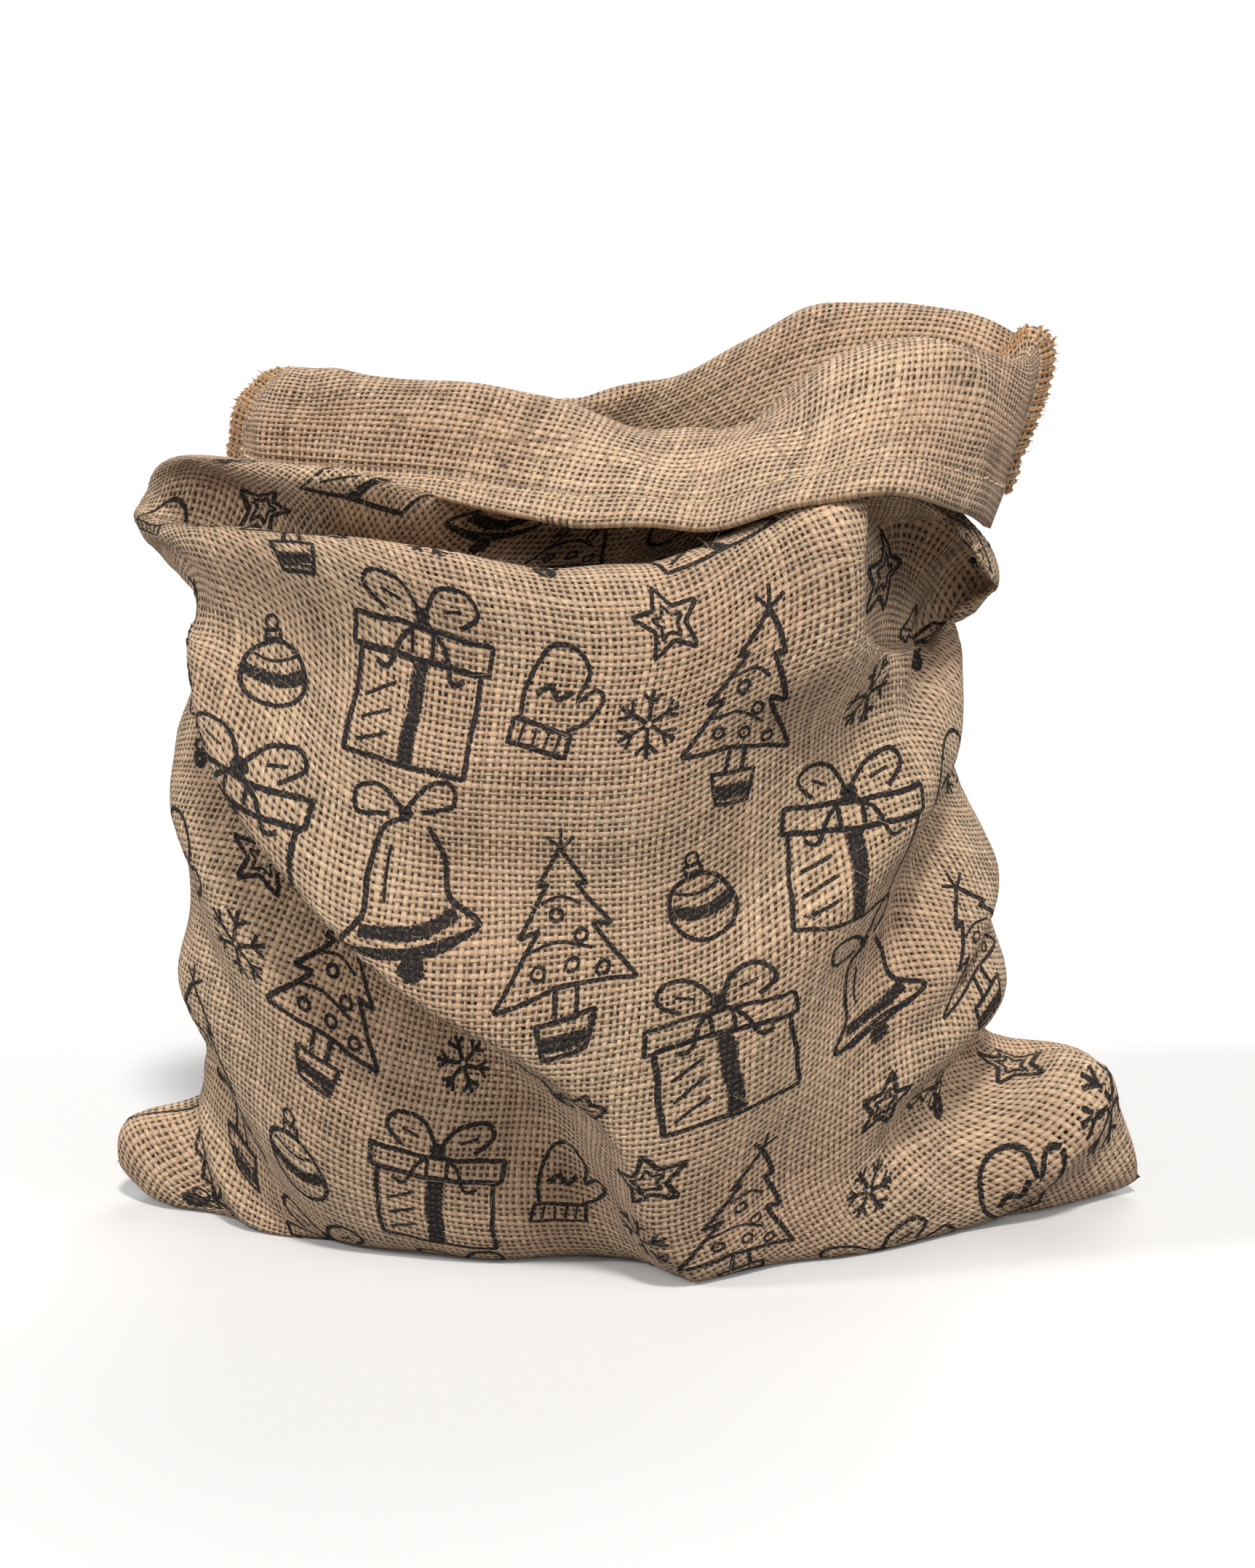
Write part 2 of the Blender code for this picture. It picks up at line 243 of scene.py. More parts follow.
CREASES = (
    # the long slanting fold over the front: a shelf that hangs over a hollow
    Crease(((52, 310), (74, 258), (130, 219), (182, 188), (212, 146), (230, 92)), 44, 22, 11, -5),
    Crease(((28, 262), (76, 232), (110, 203), (140, 182), (172, 158), (206, 90)), 22, 32, -18),
    # the left end of the lip: an edge down to the slanting fold, and a hollow left of it
    Crease(((62, 340), (56, 305), (62, 270)), 16, 16, 5),
    Crease(((26, 312), (20, 288), (30, 262)), 18, 18, -8),
    # the fold that slants down from the pocket at the right
    Crease(((366, 292), (340, 262), (308, 238), (280, 220), (252, 204)), 20, 20, 8),
    Crease(((396, 235), (350, 222), (318, 200)), 20, 20, -8),
    # where the body bulges over the right ear
    Crease(((396, 86), (368, 92), (340, 104), (316, 106)), 14, 18, -12),
    Crease(((396, 128), (366, 134), (336, 138)), 18, 18, 6),
    # the left ear: a bulge of the body over it, a crease between, and its dished front
    Crease(((4, 92), (30, 88), (62, 78)), 15, 15, -10),
    Crease(((8, 124), (40, 122)), 18, 18, 5),
    Crease(((16, 42), (30, 35), (46, 30)), 12, 12, -6),
    # the long slanting fold again: a sharper brow over a deeper hollow
    Crease(((54, 300), (80, 264), (138, 228), (192, 197), (222, 154), (236, 104)), 24, 8, 9.5, -8),
    Crease(((46, 252), (90, 234), (126, 208), (158, 186), (190, 160), (216, 104)), 10, 20, -15),
    Crease(((340, 274), (312, 244), (284, 214), (262, 180), (250, 140)), 18, 16, 7),
    Crease(((372, 236), (340, 212), (318, 184), (306, 160)), 16, 18, -8),
    # wrinkles across the left end of the cuff, and the dip in the middle of it
    Crease(((20, 500), (44, 522), (80, 540)), 6, 7, 2.2),
    Crease(((34, 496), (62, 510), (104, 520)), 6, 6, -2.0),
    Crease(((10, 520), (30, 540), (52, 552)), 5, 6, -1.8),
    Crease(((150, 500), (190, 524), (206, 552)), 14, 16, -4.0),
    Crease(((230, 498), (262, 520), (284, 548)), 12, 14, 3.0),
    Crease(((330, 500), (350, 524), (356, 552)), 9, 10, -3.5),
    # folds that run from the elbow into the roll and the valley
    Crease(((4, 396), (40, 408), (80, 404)), 7, 8, -4.0),
    Crease(((10, 376), (44, 386), (86, 378)), 7, 8, 3.0),
    Crease(((6, 352), (30, 350), (52, 338)), 7, 8, -4.0),
    Crease(((22, 330), (44, 322), (58, 300)), 6, 7, 3.0),
    # soft dents in the lip and in the upper front
    Crease(((120, 338), (160, 326), (210, 330)), 12, 16, -2.5),
    Crease(((230, 352), (270, 344), (300, 330)), 12, 12, -3.0),
    Crease(((90, 300), (150, 286), (220, 292)), 18, 22, 2.2),
    Crease(((150, 262), (220, 250), (270, 252)), 16, 20, -2.4),
    # the pocket at the right, its crisp left edge, and the slanting folds below it
    Crease(((302, 362), (290, 346), (291, 328), (306, 312), (328, 303), (348, 300)), 6, 14, 8, 9),
    Crease(((312, 354), (332, 348), (350, 340), (366, 330)), 7, 9, -13),
    Crease(((372, 330), (352, 296), (330, 270)), 10, 9, -7.0),
    Crease(((384, 300), (368, 268), (350, 246)), 9, 9, 5.0),
    Crease(((398, 262), (372, 240), (340, 232)), 9, 10, -5.0),
    Crease(((396, 196), (360, 176), (330, 168)), 12, 12, 4.0),
    Crease(((396, 168), (356, 158), (318, 150)), 10, 10, -4.0),
    # the hollow under the slanting fold, and the folds that fan from its foot
    Crease(((40, 226), (84, 198), (120, 170)), 12, 14, -3.5),
    Crease(((16, 200), (50, 188), (90, 152)), 12, 12, 3.0),
    Crease(((8, 176), (40, 160), (70, 130)), 10, 10, -3.5),
    Crease(((232, 120), (238, 96), (244, 70)), 9, 12, 3.5),
    Crease(((262, 150), (276, 112), (280, 84)), 14, 14, -3.5),
    Crease(((300, 120), (318, 92), (326, 70)), 12, 12, 3.0),
    # round both ears
    Crease(((20, 70), (50, 62), (90, 60)), 8, 10, -4.0),
    Crease(((6, 60), (26, 56), (44, 50)), 6, 6, 3.0),
    Crease(((398, 70), (372, 72), (344, 84)), 7, 8, -5.0),
    Crease(((396, 44), (376, 46), (350, 56)), 7, 7, 4.0),
    Crease(((390, 24), (362, 34), (330, 36)), 7, 8, -4.0),
    # the rear, which sags as freely
    Crease(((470, 330), (520, 300), (580, 292), (640, 306)), 22, 26, -7.0),
    Crease(((430, 296), (480, 250), (540, 210)), 20, 20, 7.0),
    Crease(((770, 300), (720, 262), (664, 222), (620, 160)), 22, 18, 8.0),
    Crease(((784, 262), (736, 226), (690, 180), (660, 130)), 18, 20, -9.0),
    Crease(((440, 180), (486, 150), (540, 132)), 16, 16, -5.0),
    Crease(((560, 520), (580, 540), (584, 558)), 12, 12, -4.0),
    Crease(((640, 505), (656, 530), (650, 556)), 10, 12, 4.0),
)


def soft_step(share: np.ndarray) -> np.ndarray:
    """Rises smoothly from 0 to 1 as share does: share squared times (3 - 2 share)."""
    share = np.clip(share, 0, 1)
    return share**2 * (3 - 2 * share)


def round_trip(difference: np.ndarray) -> np.ndarray:
    """A difference in "around", taken the short way round the sack."""
    return (difference + FLAT_WIDTH) % GIRTH - FLAT_WIDTH


def unit(vectors: np.ndarray) -> np.ndarray:
    """The vectors along the last axis, each divided by its length."""
    return vectors / np.maximum(np.linalg.norm(vectors, axis=-1, keepdims=True), TINY)


def run_up(steps: np.ndarray) -> np.ndarray:
    """The length run at each point of a line from the steps between them, from 0."""
    return np.concatenate([[0], np.cumsum(steps)])


def cells(grid: np.ndarray) -> np.ndarray:
    """Each cell's four corners in turn, from a grid of point numbers or of places."""
    return np.stack([grid[:-1, :-1], grid[:-1, 1:], grid[1:, 1:], grid[1:, :-1]], axis=2)


def normals(points: np.ndarray) -> np.ndarray:
    """Unit normals of a grid that closes round the sack; they point away from its inside."""
    ahead = np.roll(points, -1, axis=1) - np.roll(points, 1, axis=1)
    return unit(np.cross(ahead, np.gradient(points, axis=0)))


def smooth_table(stations: np.ndarray, values: np.ndarray, at: np.ndarray) -> np.ndarray:
    """Monotone cubic curves through the columns of a table.

    Each slope is the harmonic mean of its two neighbours', or 0 where they differ in sign.

    Args:
        stations: where each row of the table lies.
        values: the table, one row for each station.
        at: the places to read.

    Returns:
        One row for each place.
    """
    gap = np.diff(stations)[:, None]
    slope = np.diff(values, axis=0) / gap
    left, right = slope[:-1], slope[1:]
    weight_l = gap[1:] + 2 * gap[:-1]
    weight_r = 2 * gap[1:] + gap[:-1]
    same_way = left * right > 0
    safe_l, safe_r = np.where(same_way, left, 1), np.where(same_way, right, 1)
    mean = (weight_l + weight_r) / (weight_l / safe_l + weight_r / safe_r)
    tangent = np.vstack([slope[:1], np.where(same_way, mean, 0), slope[-1:]])
    i = np.clip(np.searchsorted(stations, at, side="right") - 1, 0, len(stations) - 2)
    h = gap[i]
    t = ((at - stations[i]) / gap[i, 0])[:, None]
    return (
        values[i] * (1 + 2 * t) * (1 - t) ** 2
        + tangent[i] * h * t * (1 - t) ** 2
        + values[i + 1] * t**2 * (3 - 2 * t)
        + tangent[i + 1] * h * t**2 * (t - 1)
    )


def blended(corners: list[np.ndarray], s: np.ndarray, t: np.ndarray) -> np.ndarray:
    """The value inside a cell, straight between its corners both ways.

    Args:
        corners: the values at its low left, low right, high left and high right.
        s: how far across the cell, 0 to 1.
        t: how far up it.

    Returns:
        The value.
    """
    low = corners[0] * (1 - s) + corners[1] * s
    high = corners[2] * (1 - s) + corners[3] * s
    return low * (1 - t) + high * t


def evened(values: np.ndarray, axis: int) -> np.ndarray:
    """Each value's mean with its neighbours' along one axis, by weights 1/4, 1/2 and 1/4.

    Args:
        values: a grid.
        axis: the way to even it; past the ends its slope goes on.

    Returns:
        The evened grid.
    """
    values = np.moveaxis(values, axis, 0)
    ends = 2 * values[:1] - values[1:2], 2 * values[-1:] - values[-2:-1]
    wide = np.concatenate([ends[0], values, ends[1]])
    return np.moveaxis((wide[:-2] + 2 * wide[1:-1] + wide[2:]) / 4, 0, axis)


@dataclass(frozen=True)
class SackShape:
    """The shape in which the sack stands, as a function of cloth coordinates."""

    around: np.ndarray  # the places of the grid's columns
    along: np.ndarray  # and of its rows
    loop_points: int = 400  # that trace half a section before it is spaced out evenly
    lift_power: float = 2.4  # how late a section's edge climbs to its two ends
    ear_power: float = 12.0  # added at the base fold, where only the very ends climb
    ear_length: float = 50.0  # up the cloth, over which that dies away
    strip_power: float = 1.3  # how a strip's shape fades to its sides: more is narrower
    strip_fade: float = 30.0  # over which a strip grows out of the smooth sections
    floor_bend: float = 5.0  # half the height over which the cloth turns up from the floor
    crease_points: int = 60  # along the line of a crease
    crease_reach: float = 3.0  # how far its bell curve is carried, in its own widths
    crease_end: float = 0.06  # share of its taper cut off, so that its ends keep some depth
    smoothing: int = 10  # rounds of it
    seam_dip: float = 1.6  # how far the side seams draw the cloth in
    seam_reach: float = 3.5  # and how far to each side
    waves: tuple[int, ...] = (110, 90, 74, 60, 50, 42, 35)  # lengths of the small dents
    unevenness: float = 1.1  # how deep the dents are
    calm: tuple[float, float] = (20.0, 60.0)  # height from which they grow, and over what

    def half_loop(self, reach: float, depth: float, square: float, share: np.ndarray) -> np.ndarray:
        """Half a superellipse from -reach to +reach, read at even shares of its length.

        |x|^square + |y|^square = 1, with x from the cosine and y from the sine of the turn.

        Args:
            reach: half its breadth.
            depth: how far it stands out.
            square: its power; more is boxier.
            share: shares of its length.

        Returns:
            x and y at each share, each from 0 to 1.
        """
        turn = np.linspace(0, np.pi, self.loop_points)
        across = -np.sign(np.cos(turn)) * np.abs(np.cos(turn)) ** (2 / square)
        out = np.sin(turn) ** (2 / square)
        steps = np.hypot(np.diff(across) * reach, np.diff(out) * max(depth, TINY))
        length = run_up(steps)
        at = share * length[-1]
        return np.array([np.interp(at, length, across), np.interp(at, length, out)])

    def base(self, around: np.ndarray) -> np.ndarray:
        """The sections joined into a smooth tube.

        z goes from the middle's to the side's as |x| to the lift power, which is greater near
        the base fold: the ear power times e to the power -along / ear length is added to it.

        Args:
            around: the places of the columns.

        Returns:
            A grid of points.
        """
        along = self.along
        table = np.array(SECTIONS, float)
        rows = smooth_table(table[:, 0], table[:, 1:], along)
        points = np.zeros((len(along), len(around), 3))
        front = around <= FLAT_WIDTH
        shares = (around[front] / FLAT_WIDTH, (GIRTH - around[~front]) / FLAT_WIDTH)
        for j, (left, right, y_f, y_b, z_l, z_r, z_f, z_b, square) in enumerate(rows):
            middle, reach = (left + right) / 2, (right - left) / 2
            power = self.lift_power + self.ear_power * np.exp(-along[j] / self.ear_length)
            panels = ((front, shares[0], y_f, z_f), (~front, shares[1], y_b, z_b))
            for part, share, depth, z_middle in panels:
                across, out = self.half_loop(reach, abs(depth), square, share)
                side = np.where(across < 0, z_l, z_r)
                lifted = z_middle + (side - z_middle) * np.abs(across) ** power
                points[j, part] = np.stack([middle + reach * across, depth * out, lifted], 1)
        return points

    def lay_strips(self, points: np.ndarray) -> None:
        """Bends the cloth beside each strip to the strip's own shape.

        The change fades to each side as (1 - (distance / reach) squared) to the strip power.

        Args:
            points: the grid, which it changes.
        """
        along = self.along
        for strip in STRIPS:
            stations = np.array(strip.along, float)
            column = self.base(np.array([float(strip.around)]))[:, 0, 1:]
            shape = smooth_table(stations, np.array([strip.y, strip.z], float).T, along)
            grown = soft_step((along - stations[0]) / self.strip_fade)
            if stations[-1] < LENGTH:
                grown *= soft_step((stations[-1] - along) / self.strip_fade)
            change = (shape - column) * grown[:, None]
            away = np.clip(np.abs(round_trip(self.around - strip.around)) / strip.reach, 0, 1)
            weight = (1 - away**2) ** self.strip_power
            points[..., 1:] += weight[None, :, None] * change[:, None, :]

    def pull(self, points: np.ndarray) -> None:
        """Moves patches of the cloth, each fading out as e to the power -(distance squared).

        Args:
            points: the grid, which it changes.
        """
        for row in PULLS:
            across = round_trip(self.around[None, :] - row.around) / row.wide
            up = (self.along[:, None] - row.along) / row.high
            weight = np.exp(-(across**2) - up**2)[..., None]
            points += weight * np.array([row.x, row.y, row.z], float)

    def smooth(self, points: np.ndarray) -> None:
        """Evens the grid out: each inner point goes halfway to the mean of its neighbours.

        Args:
            points: the grid, which it changes.
        """
        for _ in range(self.smoothing):
            below = np.concatenate([np.roll(points[1:2, ::-1], 1, axis=1), points[:-1]])
            above = np.concatenate([points[1:], points[-1:]])
            beside = np.roll(points, 1, axis=1) + np.roll(points, -1, axis=1)
            mean = (below + above + beside) / 4
            points[:-1] += 0.5 * (mean - points)[:-1]

    def crease(self, points: np.ndarray) -> None:
        """Presses ridges and troughs into the cloth.

        Across its path a crease is e to the power -(distance / width) squared, past its ends
        the same, and along it the square root of the sine of its share of a half turn.

        Args:
            points: the grid, which it changes.
        """
        around, along = self.around, self.along
        normal, ahead = normals(points), unit(np.roll(points, -1, 1) - np.roll(points, 1, 1))
        up = np.cross(normal, ahead)
        moved = np.zeros_like(points)
        for row in CREASES:
            places = np.array(row.path, float)
            length = run_up(np.hypot(*np.diff(places, axis=0).T))
            line = smooth_table(length, places, np.linspace(0, length[-1], self.crease_points))
            tangent = unit(np.gradient(line, axis=0))
            reach = self.crease_reach * max(row.left, row.right)
            low, high = line.min(axis=0) - reach, line.max(axis=0) + reach
            i = np.flatnonzero((along >= low[1]) & (along <= high[1]))
            away = np.abs(round_trip(around - (low[0] + high[0]) / 2))
            j = np.flatnonzero(away <= (high[0] - low[0]) / 2)
            across = round_trip(around[j][None, :, None] - line[:, 0])
            rise = along[i][:, None, None] - line[:, 1]
            nearest = np.argmin(across**2 + rise**2, axis=2)
            across = round_trip(around[j][None, :] - line[nearest, 0])
            rise = along[i][:, None] - line[nearest, 1]
            run = tangent[nearest]
            off = rise * run[..., 0] - across * run[..., 1]
            past = across * run[..., 0] + rise * run[..., 1]
            width = np.where(off > 0, row.left, row.right)
            share = nearest / (len(line) - 1)
            taper = np.sqrt(np.sin(np.pi * (self.crease_end + (1 - 2 * self.crease_end) * share)))
            profile = (taper * np.exp(-((off / width) ** 2) - (past / width) ** 2))[..., None]
            patch = np.ix_(i, j)
            aside = run[..., :1] * up[patch] - run[..., 1:] * ahead[patch]
            moved[patch] += profile * (row.depth * normal[patch] + row.lean * aside)
        points += moved

    def roughen(self, points: np.ndarray) -> None:
        """Dents the cloth a little everywhere, and draws it in along both side seams.

        The dents are a sum of plane waves, three of each length, each with its own heading and
        start. The seams' dip is e to the power -(distance / reach) squared.

        Args:
            points: the grid, which it changes.
        """
        around, along = self.around, self.along
        draw = np.random.default_rng(SEED)
        dents = np.zeros((len(along), len(around)))
        for length in self.waves * 3:
            turns = max(1, round(GIRTH / length * abs(np.cos(draw.uniform(0, np.pi)))))
            rise = draw.uniform(-1, 1) * 2 * np.pi / length
            phase = 2 * np.pi * (turns * around[None, :] / GIRTH + draw.uniform())
            dents += length / self.waves[0] * np.sin(phase + rise * along[:, None])
        start, fade = self.calm
        dents *= self.unevenness / dents.std() * soft_step((along - start) / fade)[:, None]
        seam = np.minimum(np.abs(round_trip(around)), np.abs(round_trip(around - FLAT_WIDTH)))
        dip = self.seam_dip * np.exp(-((seam / self.seam_reach) ** 2))
        points += (dents - dip)[..., None] * normals(points)

    def lay_on_floor(self, points: np.ndarray) -> None:
        """Lays whatever would sink below the floor flat on it, with a soft turn up.

        Between -bend and +bend the height is (z + bend) squared / (4 bend).

        Args:
            points: the grid, which it changes.
        """
        bend = self.floor_bend
        z = points[..., 2]
        soft = (z + bend) ** 2 / (4 * bend)
        points[..., 2] = np.where(z > bend, z, np.where(z < -bend, 0, soft))

    def surface(self) -> np.ndarray:
        """The printed face of the cloth.

        Returns:
            A grid of points, in millimetres.
        """
        points = self.base(self.around)
        self.lay_strips(points)
        self.pull(points)
        self.smooth(points)
        self.crease(points)
        self.roughen(points)
        self.lay_on_floor(points)
        return points + CENTRING


class Face(Enum):
    """The two faces of the cloth: the printed one, and the plain one that the cuff shows."""

    PRINTED = 0
    PLAIN = 1


class Patch(NamedTuple):
    """Places on the cloth: their points, their normals, and their place in the weave."""

    points: np.ndarray
    normals: np.ndarray
    weave: np.ndarray


@dataclass
class Cloth:
    """The cloth on a fine grid, and what lies at any place on it."""

    columns: int = 312
    rows: int = 156
    thickness: float = 1.3
    hem_extra: float = 1.5  # what the turned hem adds to the thickness
    hem_fade: float = 3.0  # over which it does
    evening: int = 120  # rounds of it, that keep the threads straight over small dents

    def __post_init__(self) -> None:
        """Works out both faces, their normals and the places in the weave."""
        self.around = np.arange(self.columns) * GIRTH / self.columns
        self.along = np.linspace(0, LENGTH, self.rows + 1)
        printed = SackShape(self.around, self.along).surface()
        out = normals(printed)
        hem = soft_step((self.along - LENGTH + HEM) / self.hem_fade)
        thick = self.thickness + self.hem_extra * hem
        plain = printed - thick[:, None, None] * out
        self.faces = {Face.PRINTED: printed, Face.PLAIN: plain}
        self.out = {Face.PRINTED: out, Face.PLAIN: -out}
        self.weave = self.thread_places(printed)

    def thread_places(self, points: np.ndarray) -> np.ndarray:
        """Where each grid corner lies in the weave, from true lengths on the surface.

        Across, a place is the length from its panel's middle, so the threads run out at the
        seams where the sack narrows. Along, it is the length from the base fold, scaled so
        that every column ends at the hem's own place. Both are evened out many times over.

        Args:
            points: the printed face.

        Returns:
            An array of panel (front, rear), row, column from seam to seam, and place.
        """
        half = self.columns // 2
        ring = np.concatenate([points, points[:, :1]], axis=1)
        step = np.linalg.norm(np.diff(ring, axis=1), axis=-1)
        rise = np.cumsum(np.linalg.norm(np.diff(ring, axis=0), axis=-1), axis=0)
        rise = np.concatenate([np.zeros((1, len(ring[0]))), rise]) * LENGTH / rise[-1]
        level = np.repeat(self.along[:, None], half + 1, axis=1)
        places = []
        for panel in range(2):
            run = np.cumsum(step[:, panel * half : (panel + 1) * half], axis=1)
            run = np.concatenate([np.zeros((len(run), 1)), run], axis=1)
            run += FLAT_WIDTH * (panel + 0.5) - run[:, half // 2 : half // 2 + 1]
            bent = rise[:, panel * half : (panel + 1) * half + 1] - level
            for _ in range(self.evening):
                for axis in (0, 1):
                    run, bent = evened(run, axis), evened(bent, axis)
            bent[0] = bent[-1] = 0
            places.append(np.stack([run, level + bent], -1))
        return np.array(places)

    def at(
        self,
        around: np.ndarray,
        along: np.ndarray,
        face: Face = Face.PRINTED,
        lift: float = 0.0,
        panel: np.ndarray | None = None,
    ) -> Patch:
        """What lies at cloth places, straight between the grid's corners.

        Args:
            around: places round the sack.
            along: places up the cloth, of the same shape.
            face: which face of the cloth.
            lift: how far above that face.
            panel: 0 for front or 1 for rear where a place at a seam belongs to a known panel.

        Returns:
            The patch, with arrays shaped like the places.
        """
        column = (around % GIRTH) * self.columns / GIRTH
        row = np.clip(along / LENGTH * self.rows, 0, self.rows - TINY)
        i, j = np.floor(column).astype(int) % self.columns, np.floor(row).astype(int)
        s, t = (column % 1)[..., None], (row % 1)[..., None]
        k = (i + 1) % self.columns
        point, normal = (
            blended([grid[j + up, c] for up in (0, 1) for c in (i, k)], s, t)
            for grid in (self.faces[face], self.out[face])
        )
        normal = unit(normal)
        half = self.columns // 2
        side = (i >= half).astype(int) if panel is None else panel
        within = np.clip(column - side * half, 0, half)
        far = np.abs(round_trip(around - FLAT_WIDTH * (side + 0.5))) > 0.75 * FLAT_WIDTH
        within = np.where(far, 0, within)
        m = np.clip(np.floor(within).astype(int), 0, half - 1)
        corners = [self.weave[side, j + up, c] for up in (0, 1) for c in (m, m + 1)]
        weave = blended(corners, (within - m)[..., None], t)
        return Patch(point + lift * normal, normal, weave)


def linear(code: str) -> tuple[float, float, float, float]:
    """A colour from its sRGB hex value, made linear.

    Each channel is (c + 0.055) / 1.055 to the power 2.4, or c / 12.92 in the darkest shades.

    Args:
        code: the colour, such as "c8aa84".

    Returns:
        Red, green, blue and an alpha of 1.
    """
    shares = [int(code[i : i + 2], 16) / 255 for i in (0, 2, 4)]
    curve = [((c + 0.055) / 1.055) ** 2.4 if c > 0.04045 else c / 12.92 for c in shares]
    return (*curve, 1.0)


class Graph:
    """The nodes of a material or a world, and the one function that adds to them."""

    def __init__(self, owner: Material | bpy.types.World) -> None:
        """Starts with no nodes.

        Args:
            owner: what the nodes belong to.
        """
        owner.use_nodes = True
        self.owner = owner
        self.tree = owner.node_tree
        self.tree.nodes.clear()

    def add(self, kind: str, *values: object, output: int = 0, **named: object) -> Socket | None:
        """Adds a node with its settings and links.

        Args:
            kind: the node's type, without "ShaderNode" before it, and its operation after a dot.
            values: what its first open sockets take: a number, a vector or another output.
            output: which of its open outputs is wanted.
            named: more sockets, which start with a capital and have _ for a blank, and the
                node's own properties.

        Returns:
            The output, or None where the node has none.
        """
        kind, _, operation = kind.partition(".")
        node = self.tree.nodes.new("ShaderNode" + kind)
        if operation:
            node.operation = operation
        for name, value in named.items():
            if name[0].islower():
                setattr(node, name, value)
        sockets = [socket for socket in node.inputs if socket.enabled]
        labels = {socket.name: socket for socket in sockets[::-1]}
        feeds = list(zip(sockets, values))
        feeds += [(labels[n.replace("_", " ")], v) for n, v in named.items() if n[0].isupper()]
        for socket, value in feeds:
            if isinstance(value, Socket):
                self.tree.links.new(value, socket)
            else:
                socket.default_value = value
        outputs = [socket for socket in node.outputs if socket.enabled]
        return outputs[output] if outputs else None


class Woven(NamedTuple):
    """What the weave gives a finish at each point of the cloth."""

    place: Socket  # in the weave, in metres
    crossing: Socket  # the column and the row of the yarns that meet there
    height: Socket  # of the yarns, in their radii, about -1 to 2
    solid: Socket  # 1 on a yarn, 0 in the gaps between them
    fibres: Socket  # light and dark streaks along each yarn
    tones: tuple[Socket, Socket, Socket]  # whether the warp is on top, the weft's tone, the warp's


class Yarn(NamedTuple):
    """What the yarns that run one way give at each point."""

    height: Socket
    solid: Socket
    tone: Socket  # each yarn's own, 0 to 1
    streak: Socket  # where to read the fibres


